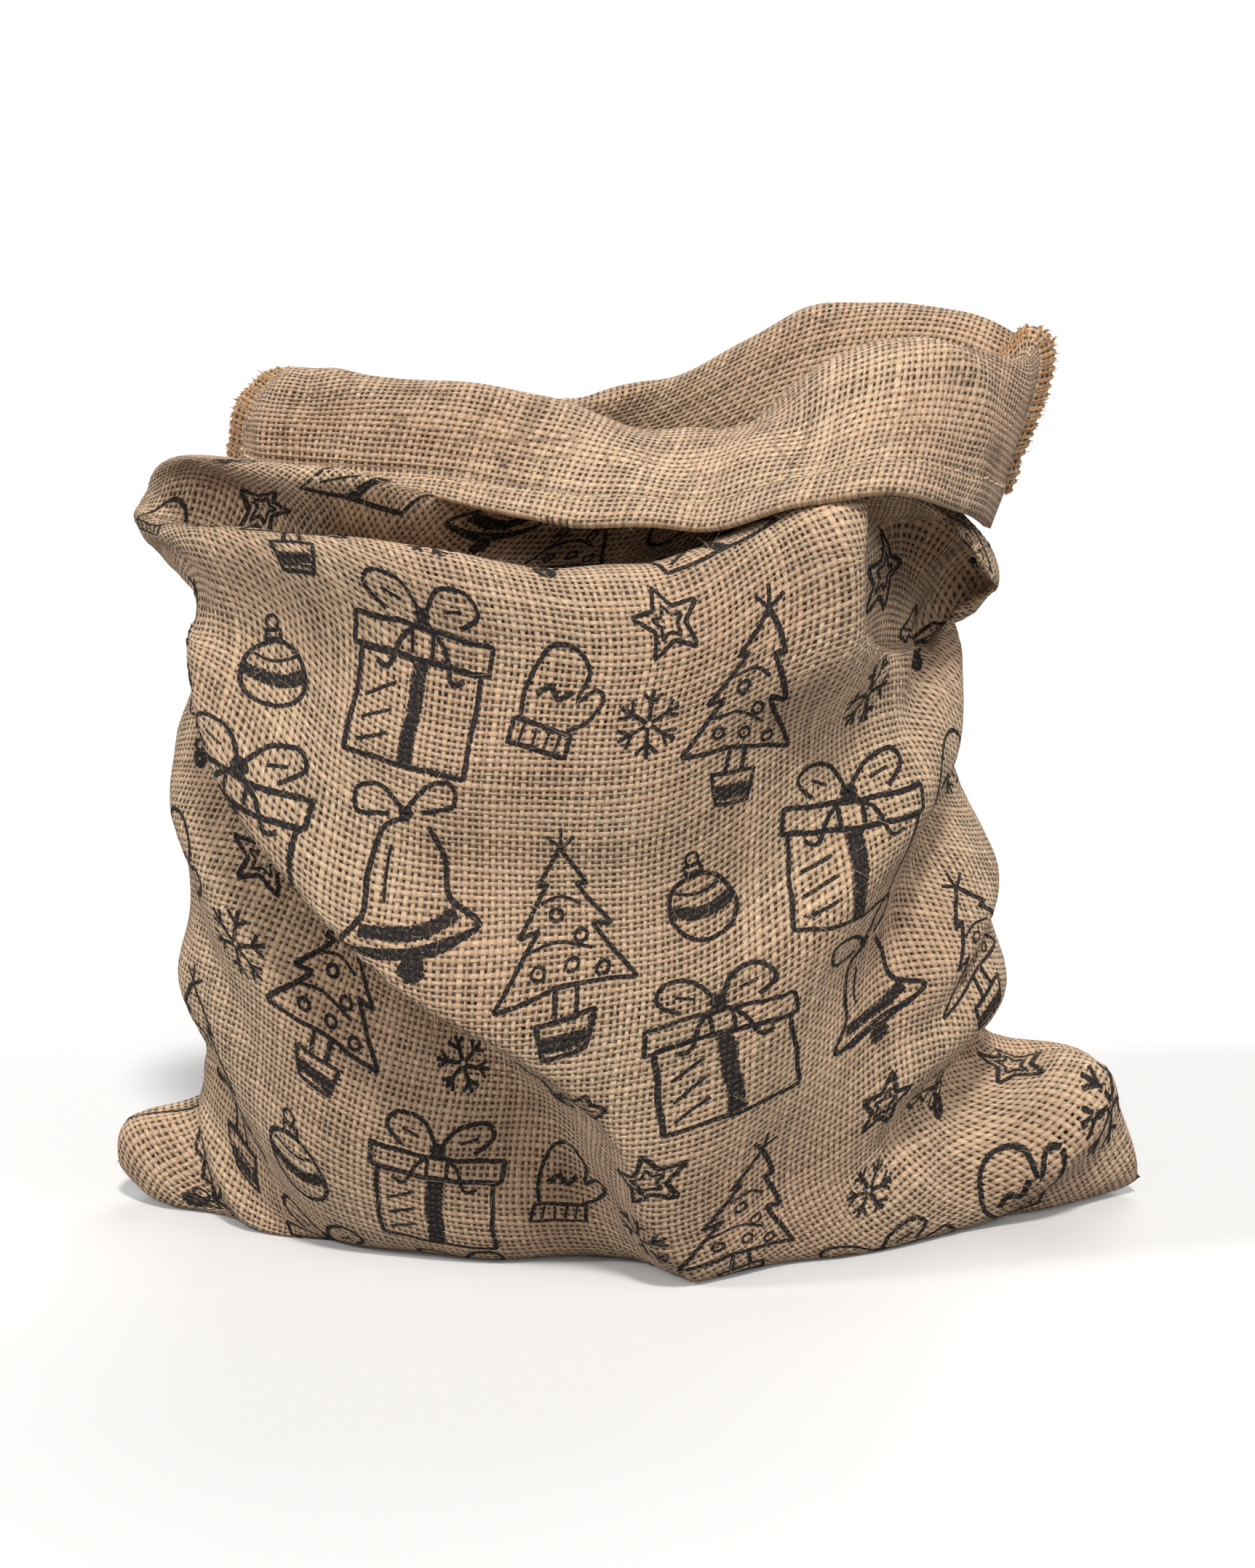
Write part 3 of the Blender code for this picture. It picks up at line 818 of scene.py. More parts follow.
@dataclass(frozen=True)
class PlainWeave:
    """Jute yarns, spun thick and thin, in a loose plain weave of about ten threads to the inch."""

    pitch: tuple[float, float] = (2.5, 2.4)  # mm from yarn to yarn, across and along
    half_width: float = 0.318  # of a yarn, in pitches
    yarn_spread: float = 0.13  # how much that differs from yarn to yarn
    slub_spread: float = 0.19  # and along each yarn
    slub_length: float = 3.5  # pitches from a thick place to a thin one
    drift: float = 0.3  # how far a yarn wanders, in pitches
    drift_across: float = 5.0  # mm over which neighbours wander apart
    drift_along: float = 30.0  # mm over which one yarn wanders
    drift_start: tuple[float, float, float] = (7.3, 2.9, 0.0)  # where in the noise it starts
    crimp: float = 0.62  # how far a yarn rises over the one it crosses, in radii
    edge: tuple[float, float] = (0.82, 1.12)  # where a yarn thins out, in its radii squared
    depth: float = 3.0  # how deep the gaps lie, in radii
    fibre_width: float = 0.25  # mm
    fibre_length: float = 2.6
    twist: float = 0.45  # how far the fibres lean as they run along the yarn
    weft_seed: float = 317.3  # parts the noise of the weft from that of the warp
    yarn_seed: float = 3.71  # and one yarn's from the next

    def lay(self, graph: Graph) -> Woven:
        """Adds the nodes that weave the "Threads" map.

        Each yarn is round: sqrt(1 - (offset / half width) squared). It rises and dips by the
        crimp times the cosine of the way along it, every other cell the other way about, and
        the higher of the two yarns shows.

        Args:
            graph: the material's nodes.

        Returns:
            What the weave gives a finish.
        """
        add = graph.add
        here = add("UVMap", uv_map="Threads")
        across, along = 1 / (self.drift_across * MM), 1 / (self.drift_along * MM)
        sway = []
        for stretch in ((across, along, 0), (along, across, 0)):
            where = add("VectorMath.MULTIPLY_ADD", here, stretch, self.drift_start)
            sway.append(add("TexNoise", where, 1.0, 1.0, noise_dimensions="2D"))
        sway = add("CombineXYZ", *sway)
        sway = add("VectorMath.ADD", sway, (-0.5,) * 3)
        sway = add("VectorMath.MULTIPLY", sway, (2 * self.drift,) * 3)
        density = (1 / (self.pitch[0] * MM), 1 / (self.pitch[1] * MM), 0)
        place = add("VectorMath.MULTIPLY_ADD", here, density, sway)
        cell = add("VectorMath.FLOOR", place)
        within = add("VectorMath.ADD", add("VectorMath.SUBTRACT", place, cell), (-0.5,) * 3)
        column, row, _ = add("SeparateXYZ", cell).node.outputs
        side, rise, _ = add("SeparateXYZ", within).node.outputs
        far, up, _ = add("SeparateXYZ", place).node.outputs
        odd = add("Math.FLOORED_MODULO", add("Math.ADD", column, row), 2.0)
        sign = add("Math.MULTIPLY_ADD", odd, -2 * self.crimp, self.crimp)
        warp = self.yarn(graph, column, side, rise, up, sign, 1)
        weft = self.yarn(graph, row, rise, side, far, sign, -1)
        top = add("Math.GREATER_THAN", warp.height, weft.height)
        streak = add("Mix", top, weft.streak, warp.streak, data_type="VECTOR")
        return Woven(
            here,
            cell,
            add("Math.MAXIMUM", warp.height, weft.height),
            add("Math.MAXIMUM", warp.solid, weft.solid),
            add("TexNoise", streak, 1.0, 2.0, 0.6, noise_dimensions="2D"),
            (top, weft.tone, warp.tone),
        )

    def yarn(
        self, graph: Graph, number: Socket, off: Socket, run: Socket, way: Socket, sign: Socket, turn: int
    ) -> Yarn:
        """Adds the nodes of the yarns that run one way.

        Args:
            graph: the material's nodes.
            number: which yarn it is.
            off: how far from its middle, in pitches.
            run: how far from the crossing's middle along it.
            way: how far along it in all.
            sign: which yarn of the crossing lies on top.
            turn: 1 for the warp, -1 for the weft.

        Returns:
            What the yarns give.
        """
        add = graph.add
        seed = add("Math.MULTIPLY_ADD", number, float(turn), self.weft_seed * turn)
        tone = add("TexWhiteNoise", seed, noise_dimensions="1D")
        spread = add("Math.MULTIPLY", seed, self.yarn_seed)
        where = add("CombineXYZ", spread, add("Math.MULTIPLY", way, 1 / self.slub_length))
        slub = add("TexNoise", where, 1.0, 2.0, noise_dimensions="2D")
        start = self.half_width - (self.yarn_spread + self.slub_spread) / 2
        wide = add("Math.MULTIPLY_ADD", slub, self.slub_spread, start)
        wide = add("Math.MULTIPLY_ADD", tone, self.yarn_spread, wide)
        share = add("Math.DIVIDE", off, wide)
        square = add("Math.MULTIPLY", share, share)
        inside = add("MapRange", square, *self.edge, 1.0, 0.0)
        dome = add("Math.SQRT", add("Math.SUBTRACT", 1.0, square))
        wave = add("Math.COSINE", add("Math.MULTIPLY", run, math.pi))
        wave = add("Math.MULTIPLY", wave, sign)
        height = add("Math.MULTIPLY_ADD", wave, float(turn), dome)
        sunk = add("Math.MULTIPLY_ADD", inside, self.depth, -self.depth)
        pitch = sum(self.pitch) / 2
        lean = add("Math.MULTIPLY_ADD", way, self.twist, off)
        across = add("Math.MULTIPLY_ADD", lean, pitch / self.fibre_width, seed)
        along = add("Math.MULTIPLY", way, pitch / self.fibre_length)
        streak = add("CombineXYZ", across, along)
        return Yarn(add("Math.ADD", height, sunk), inside, tone, streak)


@dataclass(frozen=True)
class Burlap:
    """Jute burlap, spun and woven: dull, hairy and warm, with see-through gaps and dark hollows, whose
    darkness is painted shade.
    """

    weave: PlainWeave = PlainWeave()
    dark_fibre: str = "b38c6c"
    light_fibre: str = "f6dbb7"
    pink_fibre: str = "dcae8e"
    streaks: tuple[float, float] = (0.32, 0.68)  # noise that gives dark fibres and light ones
    patch_size: float = 70.0  # mm from a pinker patch to the next
    pink: tuple[float, float] = (0.05, 0.40)  # share of pink fibres, out of and in a patch
    pink_noise: tuple[float, float] = (0.40, 0.70)  # over which a patch turns pink
    patch_tone: tuple[float, float] = (1.04, 0.93)  # out of a patch and in it
    tone_noise: tuple[float, float] = (0.35, 0.70)  # over which its tone changes
    yarn_tone: tuple[float, float] = (0.86, 1.10)  # of the darkest yarn and the lightest
    open_share: float = 0.25  # of the gaps that can be seen through; fuzz and dust fill the rest, dark with painted shade
    painted_gap_shade: float = 0.24  # painted shade: how dark what lies in the gaps is, for the crowns of the yarns
    dip: float = 0.52  # painted shade: how dark the yarns are where they dip
    crown: float = 1.5  # height from which a yarn gets no painted shade, in its radii
    groove: float = 1.1  # mm that the stitches draw the hem in
    groove_reach: float = 2.2  # mm to each side
    painted_groove_shade: float = 0.72  # painted shade: how dark its bottom is
    painted_shade_reach: float = 1.6
    roughness: float = 0.92
    sheen: float = 0.12
    relief: float = 0.55  # a yarn's radius, in mm
    fibre_relief: float = 0.35  # how high a fibre stands, in yarn radii
    floor: float = -0.8  # what lies in the gaps, in yarn radii
    name: str = "jute_burlap_plain_weave"

    def colour(self, graph: Graph, woven: Woven, off: Socket) -> Socket:
        """The jute's colour: its fibres, its yarns and wide faint patches, with painted shade in the
        gaps, in the yarns' dips and in the stitches' groove.

        Args:
            graph: the material's nodes.
            woven: the weave.
            off: how far off the hem's stitches are, in metres.

        Returns:
            The colour.
        """
        add = graph.add
        streaks = add("MapRange", woven.fibres, *self.streaks, 0.0, 1.0)
        dark, light = linear(self.dark_fibre), linear(self.light_fibre)
        base = add("Mix", streaks, dark, light, data_type="RGBA")
        scale = 1 / (self.patch_size * MM)
        patches = add("TexNoise", woven.place, scale, 3.0, noise_dimensions="2D")
        warm = add("MapRange", patches, *self.pink_noise, *self.pink)
        base = add("Mix", warm, base, linear(self.pink_fibre), data_type="RGBA")
        # painted shade: darker where the yarns dip, in the gaps and in the stitches' groove; the yarn and
        # patch tones are the cloth's own
        painted_shade_and_tone = add("MapRange", woven.height, 0.0, self.crown, self.dip, 1.0)
        for other in (
            add("MapRange", woven.solid, 0.0, 1.0, self.painted_gap_shade, 1.0),
            add("MapRange", off, 0.0, self.painted_shade_reach * MM, self.painted_groove_shade, 1.0),
            add("MapRange", add("Mix", *woven.tones), 0.0, 1.0, *self.yarn_tone),
            add("MapRange", patches, *self.tone_noise, *self.patch_tone),
        ):
            painted_shade_and_tone = add("Math.MULTIPLY", painted_shade_and_tone, other)
        return add("VectorMath.SCALE", base, painted_shade_and_tone)

    def bump(self, graph: Graph, woven: Woven, off: Socket) -> Socket:
        """The relief of yarns and fibres, in metres, and the groove of the stitches.

        Args:
            graph: the material's nodes.
            woven: the weave.
            off: how far off the hem's stitches are, in metres.

        Returns:
            The bumped normal.
        """
        add = graph.add
        height = add("Math.MAXIMUM", woven.height, self.floor)
        height = add("Math.MULTIPLY_ADD", woven.fibres, self.fibre_relief, height)
        height = add("Math.MULTIPLY", height, self.relief * MM)
        drawn = add("MapRange", off, 0.0, self.groove_reach * MM, -self.groove * MM, 0.0)
        return add("Bump", Height=add("Math.ADD", height, drawn), Strength=1.0, Distance=1.0)

    def material(self) -> Material:
        """The finish, whose turned hem has no gap to be seen through.

        Returns:
            The material.
        """
        graph = Graph(bpy.data.materials.new(self.name))
        add = graph.add
        woven = self.weave.lay(graph)
        along = add("SeparateXYZ", woven.place, output=1)
        off = add("Math.ABSOLUTE", add("Math.ADD", along, -(LENGTH - HEM) * MM))
        chance = add("TexWhiteNoise", woven.crossing, noise_dimensions="2D")
        filled = add("Math.GREATER_THAN", chance, self.open_share)
        hem = add("Math.GREATER_THAN", along, (LENGTH - HEM) * MM)
        filled = add("Math.MAXIMUM", filled, hem)
        shader = add(
            "BsdfPrincipled",
            Base_Color=self.colour(graph, woven, off),
            Normal=self.bump(graph, woven, off),
            Alpha=add("Math.MAXIMUM", woven.solid, filled),
            Roughness=self.roughness,
            Sheen_Weight=self.sheen,
            Sheen_Roughness=0.5,
            Specular_IOR_Level=0.2,
        )
        add("OutputMaterial", shader)
        return graph.owner


@dataclass(frozen=True)
class Ink:
    """Screen-printed ink on burlap: charcoal, soaked into the crowns and broken in the hollows."""

    weave: PlainWeave = PlainWeave()
    dark: str = "242224"
    worn: str = "5a4e44"
    roughness: float = 0.8
    share: float = 1.0  # how much of it there is; little where it only shows through
    blot: float = 1.2  # mm from a blot to the next
    ragged: float = 0.5  # how much the blots add to the distance from a stroke's middle
    edge: tuple[float, float] = (0.62, 0.74)  # that distance, in breadths, where the stroke ends
    soak: float = 0.9  # how much sooner the ink takes on a light fibre
    crowns: tuple[float, float] = (0.1, 0.9)  # height over which it takes, in yarn radii
    wear: float = 0.6  # how much of the worn colour there is at most
    worn_noise: tuple[float, float] = (0.50, 0.75)  # over which it sets in
    relief: float = 0.42  # how far it follows the yarns, in mm
    name: str = "screen_print_ink_on_burlap"

    def material(self) -> Material:
        """The finish: opaque on the yarns' crowns, open in the gaps.

        Returns:
            The material.
        """
        graph = Graph(bpy.data.materials.new(self.name))
        add = graph.add
        woven = self.weave.lay(graph)
        across = add("SeparateXYZ", add("UVMap", uv_map="Stroke"))
        from_middle = add("Math.ABSOLUTE", add("Math.ADD", across, -0.5))
        scale = 1 / (self.blot * MM)
        blots = add("TexNoise", woven.place, scale, 2.0, noise_dimensions="2D")
        ragged = add("Math.MULTIPLY_ADD", blots, self.ragged, from_middle)
        edge = add("MapRange", ragged, *self.edge, 1.0, 0.0)
        taken = add("Math.MULTIPLY_ADD", woven.fibres, self.soak, woven.height)
        alpha = add("Math.MULTIPLY", edge, add("MapRange", taken, *self.crowns, 0.0, 1.0))
        alpha = add("Math.MULTIPLY", alpha, woven.solid)
        thin = add("MapRange", blots, *self.worn_noise, 0.0, self.wear)
        height = add("Math.MULTIPLY", woven.height, self.relief * MM)
        shader = add(
            "BsdfPrincipled",
            Base_Color=add("Mix", thin, linear(self.dark), linear(self.worn), data_type="RGBA"),
            Normal=add("Bump", Height=height, Strength=0.6, Distance=1.0),
            Alpha=add("Math.MULTIPLY", alpha, self.share),
            Roughness=self.roughness,
            Specular_IOR_Level=0.2,
        )
        add("OutputMaterial", shader)
        return graph.owner


@dataclass(frozen=True)
class SpunYarn:
    """Thread or fibre spun from short staple: matt, a little uneven in tone along its length."""

    name: str
    dark: str
    light: str
    roughness: float = 0.85
    grain: float = 0.8  # mm between its lighter and darker places
    tones: tuple[float, float] = (0.35, 0.65)  # noise that gives the dark and the light
    relief: float = 0.1  # how high its staple stands, in mm

    def material(self) -> Material:
        """The finish, on Object coordinates.

        Returns:
            The material.
        """
        graph = Graph(bpy.data.materials.new(self.name))
        add = graph.add
        here = add("TexCoord", output=3)
        grain = add("TexNoise", here, 1 / (self.grain * MM), 3.0)
        share = add("MapRange", grain, *self.tones, 0.0, 1.0)
        height = add("Math.MULTIPLY", grain, self.relief * MM)
        shader = add(
            "BsdfPrincipled",
            Base_Color=add("Mix", share, linear(self.dark), linear(self.light), data_type="RGBA"),
            Normal=add("Bump", Height=height, Strength=0.5, Distance=1.0),
            Roughness=self.roughness,
            Sheen_Weight=0.3,
            Specular_IOR_Level=0.3,
        )
        add("OutputMaterial", shader)
        return graph.owner


@dataclass(frozen=True)
class PaintedFloor:
    """A studio floor painted matt white, lit so brightly that its shadows are pale; its faint glow is
    left out under the sack, which paints a shadow there.
    """

    name: str = "matt_white_paint"
    shown: str = "dcdcdc"
    bounced: str = "888888"  # what it sends back to the sack, as a floor would that was farther
    glow: float = 0.06
    painted_shadow_footprint: tuple[float, float] = (0.19, 0.085)  # half the sack's base, where the glow is left out as a painted shadow
    fade: tuple[float, float] = (0.75, 1.0)  # of the footprint, over which the glow sets in

    def material(self) -> Material:
        """The finish; its glow is for the eye alone, and lights nothing.

        The glow fades where (x / half length) squared + (y / half width) squared is under 1, which paints
        a shadow under the sack.

        Returns:
            The material.
        """
        graph = Graph(bpy.data.materials.new(self.name))
        add = graph.add
        reach = (1 / self.painted_shadow_footprint[0], 1 / self.painted_shadow_footprint[1], 0)
        place = add("VectorMath.MULTIPLY", add("TexCoord", output=3), reach)
        glow = add("MapRange", add("VectorMath.LENGTH", place), *self.fade, 0.0, self.glow)
        seen = add("LightPath")
        shader = add(
            "BsdfPrincipled",
            Base_Color=add("Mix", seen, linear(self.bounced), linear(self.shown), data_type="RGBA"),
            Roughness=1.0,
            Specular_IOR_Level=0.0,
            Emission_Color=linear("ffffff"),
            Emission_Strength=add("Math.MULTIPLY", seen, glow),
        )
        add("OutputMaterial", shader)
        return graph.owner


def add_piece(name: str, points: np.ndarray, faces: list, uvs: dict, material: Material) -> Piece:
    """Makes a mesh object with its UV maps and material, and lets it ride on the sack.

    Args:
        name: the piece's name.
        points: its points, in millimetres.
        faces: lists of point numbers.
        uvs: for each UV map, one pair of numbers for each face corner.
        material: its finish.

    Returns:
        The object.
    """
    mesh = bpy.data.meshes.new(name)
    mesh.from_pydata((points * MM).tolist(), [], faces)
    for label, values in uvs.items():
        layer = mesh.uv_layers.new(name=label)
        layer.uv.foreach_set("vector", np.asarray(values, np.float32).ravel())
    mesh.materials.append(material)
    mesh.shade_smooth()
    piece = bpy.data.objects.new(name, mesh)
    bpy.context.scene.collection.objects.link(piece)
    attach(piece, "root")
    LOG.info("%s: %d faces", name, len(mesh.polygons))
    return piece


def ring_quads(steps: int, sides: int) -> np.ndarray:
    """The quads of an open tube whose rings are numbered one after another."""
    number = np.arange(steps * sides).reshape(steps, sides)
    return cells(np.concatenate([number, number[:, :1]], axis=1)).reshape(-1, 4)


def tubes(paths: np.ndarray, up: np.ndarray, radii: np.ndarray, sides: int) -> tuple[np.ndarray, list]:
    """Closed tubes along many paths at once.

    Each ring is radius times (cos turn * aside + sin turn * rise), with aside square to the
    path and to up, and rise square to both; one more point closes each end.

    Args:
        paths: points, by path and step.
        up: the way up at each point.
        radii: each ring's radius, for one path or for all.
        sides: corners of a ring.

    Returns:
        The points, and the faces as lists of point numbers.
    """
    count, steps = paths.shape[:2]
    run = unit(np.gradient(paths, axis=1))
    aside = unit(np.cross(run, up))
    rise = np.cross(aside, run)
    turn = np.arange(sides) * 2 * np.pi / sides
    ring = np.cos(turn)[:, None] * aside[:, :, None] + np.sin(turn)[:, None] * rise[:, :, None]
    rings = paths[:, :, None] + np.broadcast_to(radii, (count, steps))[..., None, None] * ring
    points = np.concatenate([rings.reshape(count, -1, 3), paths[:, :1], paths[:, -1:]], axis=1)
    k = np.arange(sides)
    n = (k + 1) % sides
    end = steps * sides
    caps = [[n, k, np.full(sides, end)], [end - sides + k, end - sides + n, np.full(sides, end + 1)]]
    caps = np.concatenate([np.stack(cap, axis=-1) for cap in caps])
    shift = np.arange(count)[:, None, None] * (end + 2)
    faces = (ring_quads(steps, sides) + shift).reshape(-1, 4).tolist()
    return points.reshape(-1, 3), faces + (caps + shift).reshape(-1, 3).tolist()


@dataclass
class SackCloth:
    """The sack itself: a thin closed sheet, printed outside and plain inside and on the cuff."""

    cloth: Cloth
    atlas_gap: float = 0.005  # half the rim's share of the upright way in the atlas

    def build(self, burlap: Material) -> Piece:
        """Joins the two faces along the hem and shuts each along the base fold.

        Args:
            burlap: its finish.

        Returns:
            The sheet, which stands for the solid.
        """
        cloth = self.cloth
        rows, columns = cloth.rows + 1, cloth.columns
        half = columns // 2
        number = np.arange(2 * rows * columns).reshape(2, rows, columns)
        number[:, 0, half + 1 :] = number[:, 0, 1:half][:, ::-1]
        points = np.stack([cloth.faces[Face.PRINTED], cloth.faces[Face.PLAIN]])
        folded = (points[:, 0, 1:half] + points[:, 0, half + 1 :][:, ::-1]) / 2
        points[:, 0, 1:half] = folded
        ring = np.concatenate([number, number[..., :1]], axis=2)
        outer, inner, rim = (cells(grid).reshape(-1, 4) for grid in (*ring, ring[:, -1]))
        faces = np.concatenate([outer, inner[:, ::-1], rim])
        used, faces = np.unique(faces, return_inverse=True)
        corners = faces.reshape(-1, 4).tolist()
        sheet = add_piece("sack", points.reshape(-1, 3)[used], corners, self.maps(), burlap)
        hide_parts("sack_cloth")
        return sheet

    def maps(self) -> dict[str, np.ndarray]:
        """UV maps for the two faces and the rim, one place for each face corner.

        Returns:
            "Threads", the place in the weave in metres, and "OFBake", an atlas in which the
            printed face takes the lower half, the plain one the upper, and the rim a strip
            between them.
        """
        threads = np.concatenate([cells(grid * MM) for grid in self.cloth.weave], axis=1)
        around = np.linspace(0, 1, self.cloth.columns + 1)[None, :]
        rise = np.linspace(0, 0.5 - self.atlas_gap, self.cloth.rows + 1)
        spread = [
            cells(np.stack(np.broadcast_arrays(around, up[:, None]), -1))
            for up in (rise, 1 - rise, np.array([rise[-1], 1 - rise[-1]]))
        ]
        woven = [threads, threads[:, :, ::-1], threads[-1:][:, :, [3, 2, 2, 3]]]
        atlas = [spread[0], spread[1][:, :, ::-1], spread[2]]
        maps = {"Threads": woven, "OFBake": atlas}
        return {name: np.concatenate([g.reshape(-1, 2) for g in m]) for name, m in maps.items()}


class Line(Enum):
    """How a stroke runs through its points."""

    CURVE = "smooth"
    CORNERED = "straight from point to point"
    LOOP = "smooth, and back to its start"
    OUTLINE = "straight, and back to its start"


class Stroke(NamedTuple):
    """A pen stroke of a motif, in millimetres from its middle."""

    points: Rows | np.ndarray
    width: float
    line: Line = Line.CURVE


def circle(x: float, y: float, radius: float, width: float) -> Stroke:
    """A ring; where its width is over its radius it is a filled dot.

    Args:
        x: its middle.
        y: the same.
        radius: its own.
        width: the pen's.

    Returns:
        The stroke, as eight points on the ring.
    """
    turn = np.arange(8) * np.pi / 4
    points = np.stack([x + radius * np.cos(turn), y + radius * np.sin(turn)], 1)
    return Stroke(points, width, Line.LOOP)


def flipped(points: Rows) -> Rows:
    """The points with x turned to -x."""
    return tuple((-x, y) for x, y in points)


def both_sides(points: Rows, width: float, line: Line = Line.CURVE) -> list[Stroke]:
    """A stroke and its mirror image.

    Args:
        points: the stroke's points.
        width: the pen's.
        line: how it runs through them.

    Returns:
        The two strokes.
    """
    return [Stroke(points, width, line), Stroke(flipped(points), width, line)]


def fir_tree() -> list[Stroke]:
    """A fir in three tiers, in a pot, with baubles, garlands and a small star.

    Returns:
        Its strokes.
    """
    side = ((0, 33), (-9, 19), (-5, 20), (-16, 3), (-9, 5), (-23, -17), (-4, -14))
    return [
        Stroke(side + flipped(side[::-1][:-1]), 2.0, Line.OUTLINE),
        *(Stroke(((s * 3.2, -14.5), (s * 3.4, -24)), 2.0, Line.CORNERED) for s in (-1, 1)),
        Stroke(((-9, -24), (9, -24), (6.5, -36), (-6.5, -36)), 2.0, Line.OUTLINE),
        Stroke(((-7, -31.5), (7, -31.5)), 6.5, Line.CORNERED),
        *(circle(x, y, 2.2, 1.5) for x, y in ((-3, 9), (5, 1), (-9, -8), (2, -8), (12, -11))),
        *(Stroke(((0, 33), tip), 1.5, Line.CORNERED) for tip in ((-5, 37), (0, 40), (5, 37))),
        Stroke(((-8, 13), (-1, 15), (6, 12)), 1.4),
        Stroke(((-13, -2), (-2, 0), (9, -4)), 1.4),
    ]


def parcel() -> list[Stroke]:
    """A gift box with a lid, a crossed ribbon and a bow, one side of it dotted.

    Returns:
        Its strokes.
    """
    dots = [(x, y) for x in (8.5, 13, 17.5) for y in (-22, -17, -12, -7, -2)]
    return [
        Stroke(((-23, -27), (23, -27), (23, 7), (-23, 7)), 2.1, Line.OUTLINE),
        Stroke(((-26, 7), (26, 7), (26, 16), (-26, 16)), 2.1, Line.OUTLINE),
        Stroke(((0, -26), (0, 6)), 7.0, Line.CORNERED),
        *both_sides(((-4, 8), (-4, 16)), 1.8, Line.CORNERED),
        circle(0, 19.5, 1.6, 4.2),
        *both_sides(((0, 19), (-7, 29), (-17, 31), (-21, 25), (-14, 19)), 2.0),
        *both_sides(((-1, 18), (-8, 12), (-12, 3), (-17, 4)), 2.0),
        *both_sides(((-15, 25), (-8, 23)), 1.4),
        *(circle(x + (y % 2) * 1.2, y, 0.7, 1.9) for x, y in dots),
        *(Stroke(((-19, y), (-8, y + 6)), 1.5, Line.CORNERED) for y in (-23, -15, -7)),
    ]


def bell() -> list[Stroke]:
    """A hand bell that hangs from a knotted bow.

    Returns:
        Its strokes.
    """
    side = ((0, 22), (-8, 19), (-12, 8), (-13, -5), (-20, -16))
    return [
        Stroke(side + flipped(side[::-1][:-1]), 2.1),
        Stroke(((-20, -16), (-8, -19), (8, -19), (20, -16)), 2.1),
        Stroke(((-14.5, -10), (-5, -12.5), (5, -12.5), (14.5, -10)), 5.0),
        circle(0, -23, 2.2, 4.6),
        circle(0, 24, 1.4, 3.6),
        *both_sides(((0, 24), (-8, 33), (-17, 33), (-17, 25), (-6, 24)), 2.0),
        Stroke(((-5, 14), (-7, 4), (-7, -3)), 1.4),
    ]


def mitten() -> list[Stroke]:
    """A knitted mitten with a ribbed cuff.

    Returns:
        Its strokes.
    """
    hand = (-9, -7), (-11, 4), (-7, 16), (1, 19), (8, 13), (8, 3), (13, 8), (17, 5), (14, -3), (8, -7)
    return [
        Stroke(hand, 2.0),
        Stroke(((-11, -16), (10, -16), (10, -8), (-11, -8)), 2.0, Line.OUTLINE),
        *(Stroke(((x, -15), (x, -9)), 1.3, Line.CORNERED) for x in (-7, -2.5, 2, 6)),
        Stroke(((-7, 1), (-3, 5), (1, 1), (5, 5)), 2.6, Line.CORNERED),
    ]


def snowflake() -> list[Stroke]:
    """Six arms, each with a pair of twigs.

    Returns:
        Its strokes.
    """
    strokes = []
    for turn in np.arange(6) * np.pi / 3 + np.pi / 6:
        out, aside = np.array([np.cos(turn), np.sin(turn)]), np.array([-np.sin(turn), np.cos(turn)])
        strokes.append(Stroke((1 * out, 12 * out), 1.9, Line.CORNERED))
        for side in (-1, 1):
            strokes.append(Stroke((7 * out, 10.5 * out + side * 3.6 * aside), 1.6, Line.CORNERED))
    return strokes


def star() -> list[Stroke]:
    """A five-pointed star drawn twice, one inside the other.

    Returns:
        Its strokes.
    """
    turn = np.arange(10) * np.pi / 5 + np.pi / 2
    reach = np.where(np.arange(10) % 2, 0.45, 1.0)
    rim = np.stack([reach * np.cos(turn), reach * np.sin(turn)], 1)
    return [Stroke(12.5 * rim, 2.0, Line.OUTLINE), Stroke(6.0 * rim, 1.4, Line.OUTLINE)]


def holly() -> list[Stroke]:
    """Two spiny leaves and three berries.

    Returns:
        Its strokes.
    """
    low = ((0, 0), (-6, 5), (-9, 2), (-13, 7), (-17, 5), (-22, 10))
    high = ((-16, 13), (-14, 17), (-9, 13), (-5, 13))
    return [
        *both_sides(low + high, 1.9, Line.OUTLINE),
        *both_sides(((-2, 3), (-11, 8), (-18, 10)), 1.3, Line.CORNERED),
        *(circle(x, y, 2.4, width) for x, y, width in ((-3, -3, 1.7), (3, -3, 1.7), (0, -8, 4.4))),
    ]


def bauble() -> list[Stroke]:
    """A round tree ornament with two bands and its hook.

    Returns:
        Its strokes.
    """
    return [
        circle(0, -3, 12, 2.0),
        Stroke(((-11, -2), (-4, -4.5), (4, -4.5), (11, -2)), 5.5),
        Stroke(((-8, 4), (-3, 2.5), (3, 2.5), (8, 4)), 1.5),
        Stroke(((-3, 9.5), (3, 9.5), (3, 12.5), (-3, 12.5)), 1.8, Line.OUTLINE),
        circle(0, 15, 2.4, 1.4),
    ]


class Motif(Enum):
    """The line drawings of the print."""

    FIR = "fir_tree"
    PARCEL = "parcel"
    BELL = "bell"
    MITTEN = "mitten"
    FLAKE = "snowflake"
    STAR = "star"
    HOLLY = "holly"
    BAUBLE = "bauble"


DRAWINGS = dict(zip(Motif, (fir_tree, parcel, bell, mitten, snowflake, star, holly, bauble)))


class Placed(NamedTuple):
    """A motif in the repeat: its middle, its turn in degrees and its size."""

    motif: Motif
    around: float
    along: float
    turn: float
    size: float = 1.0


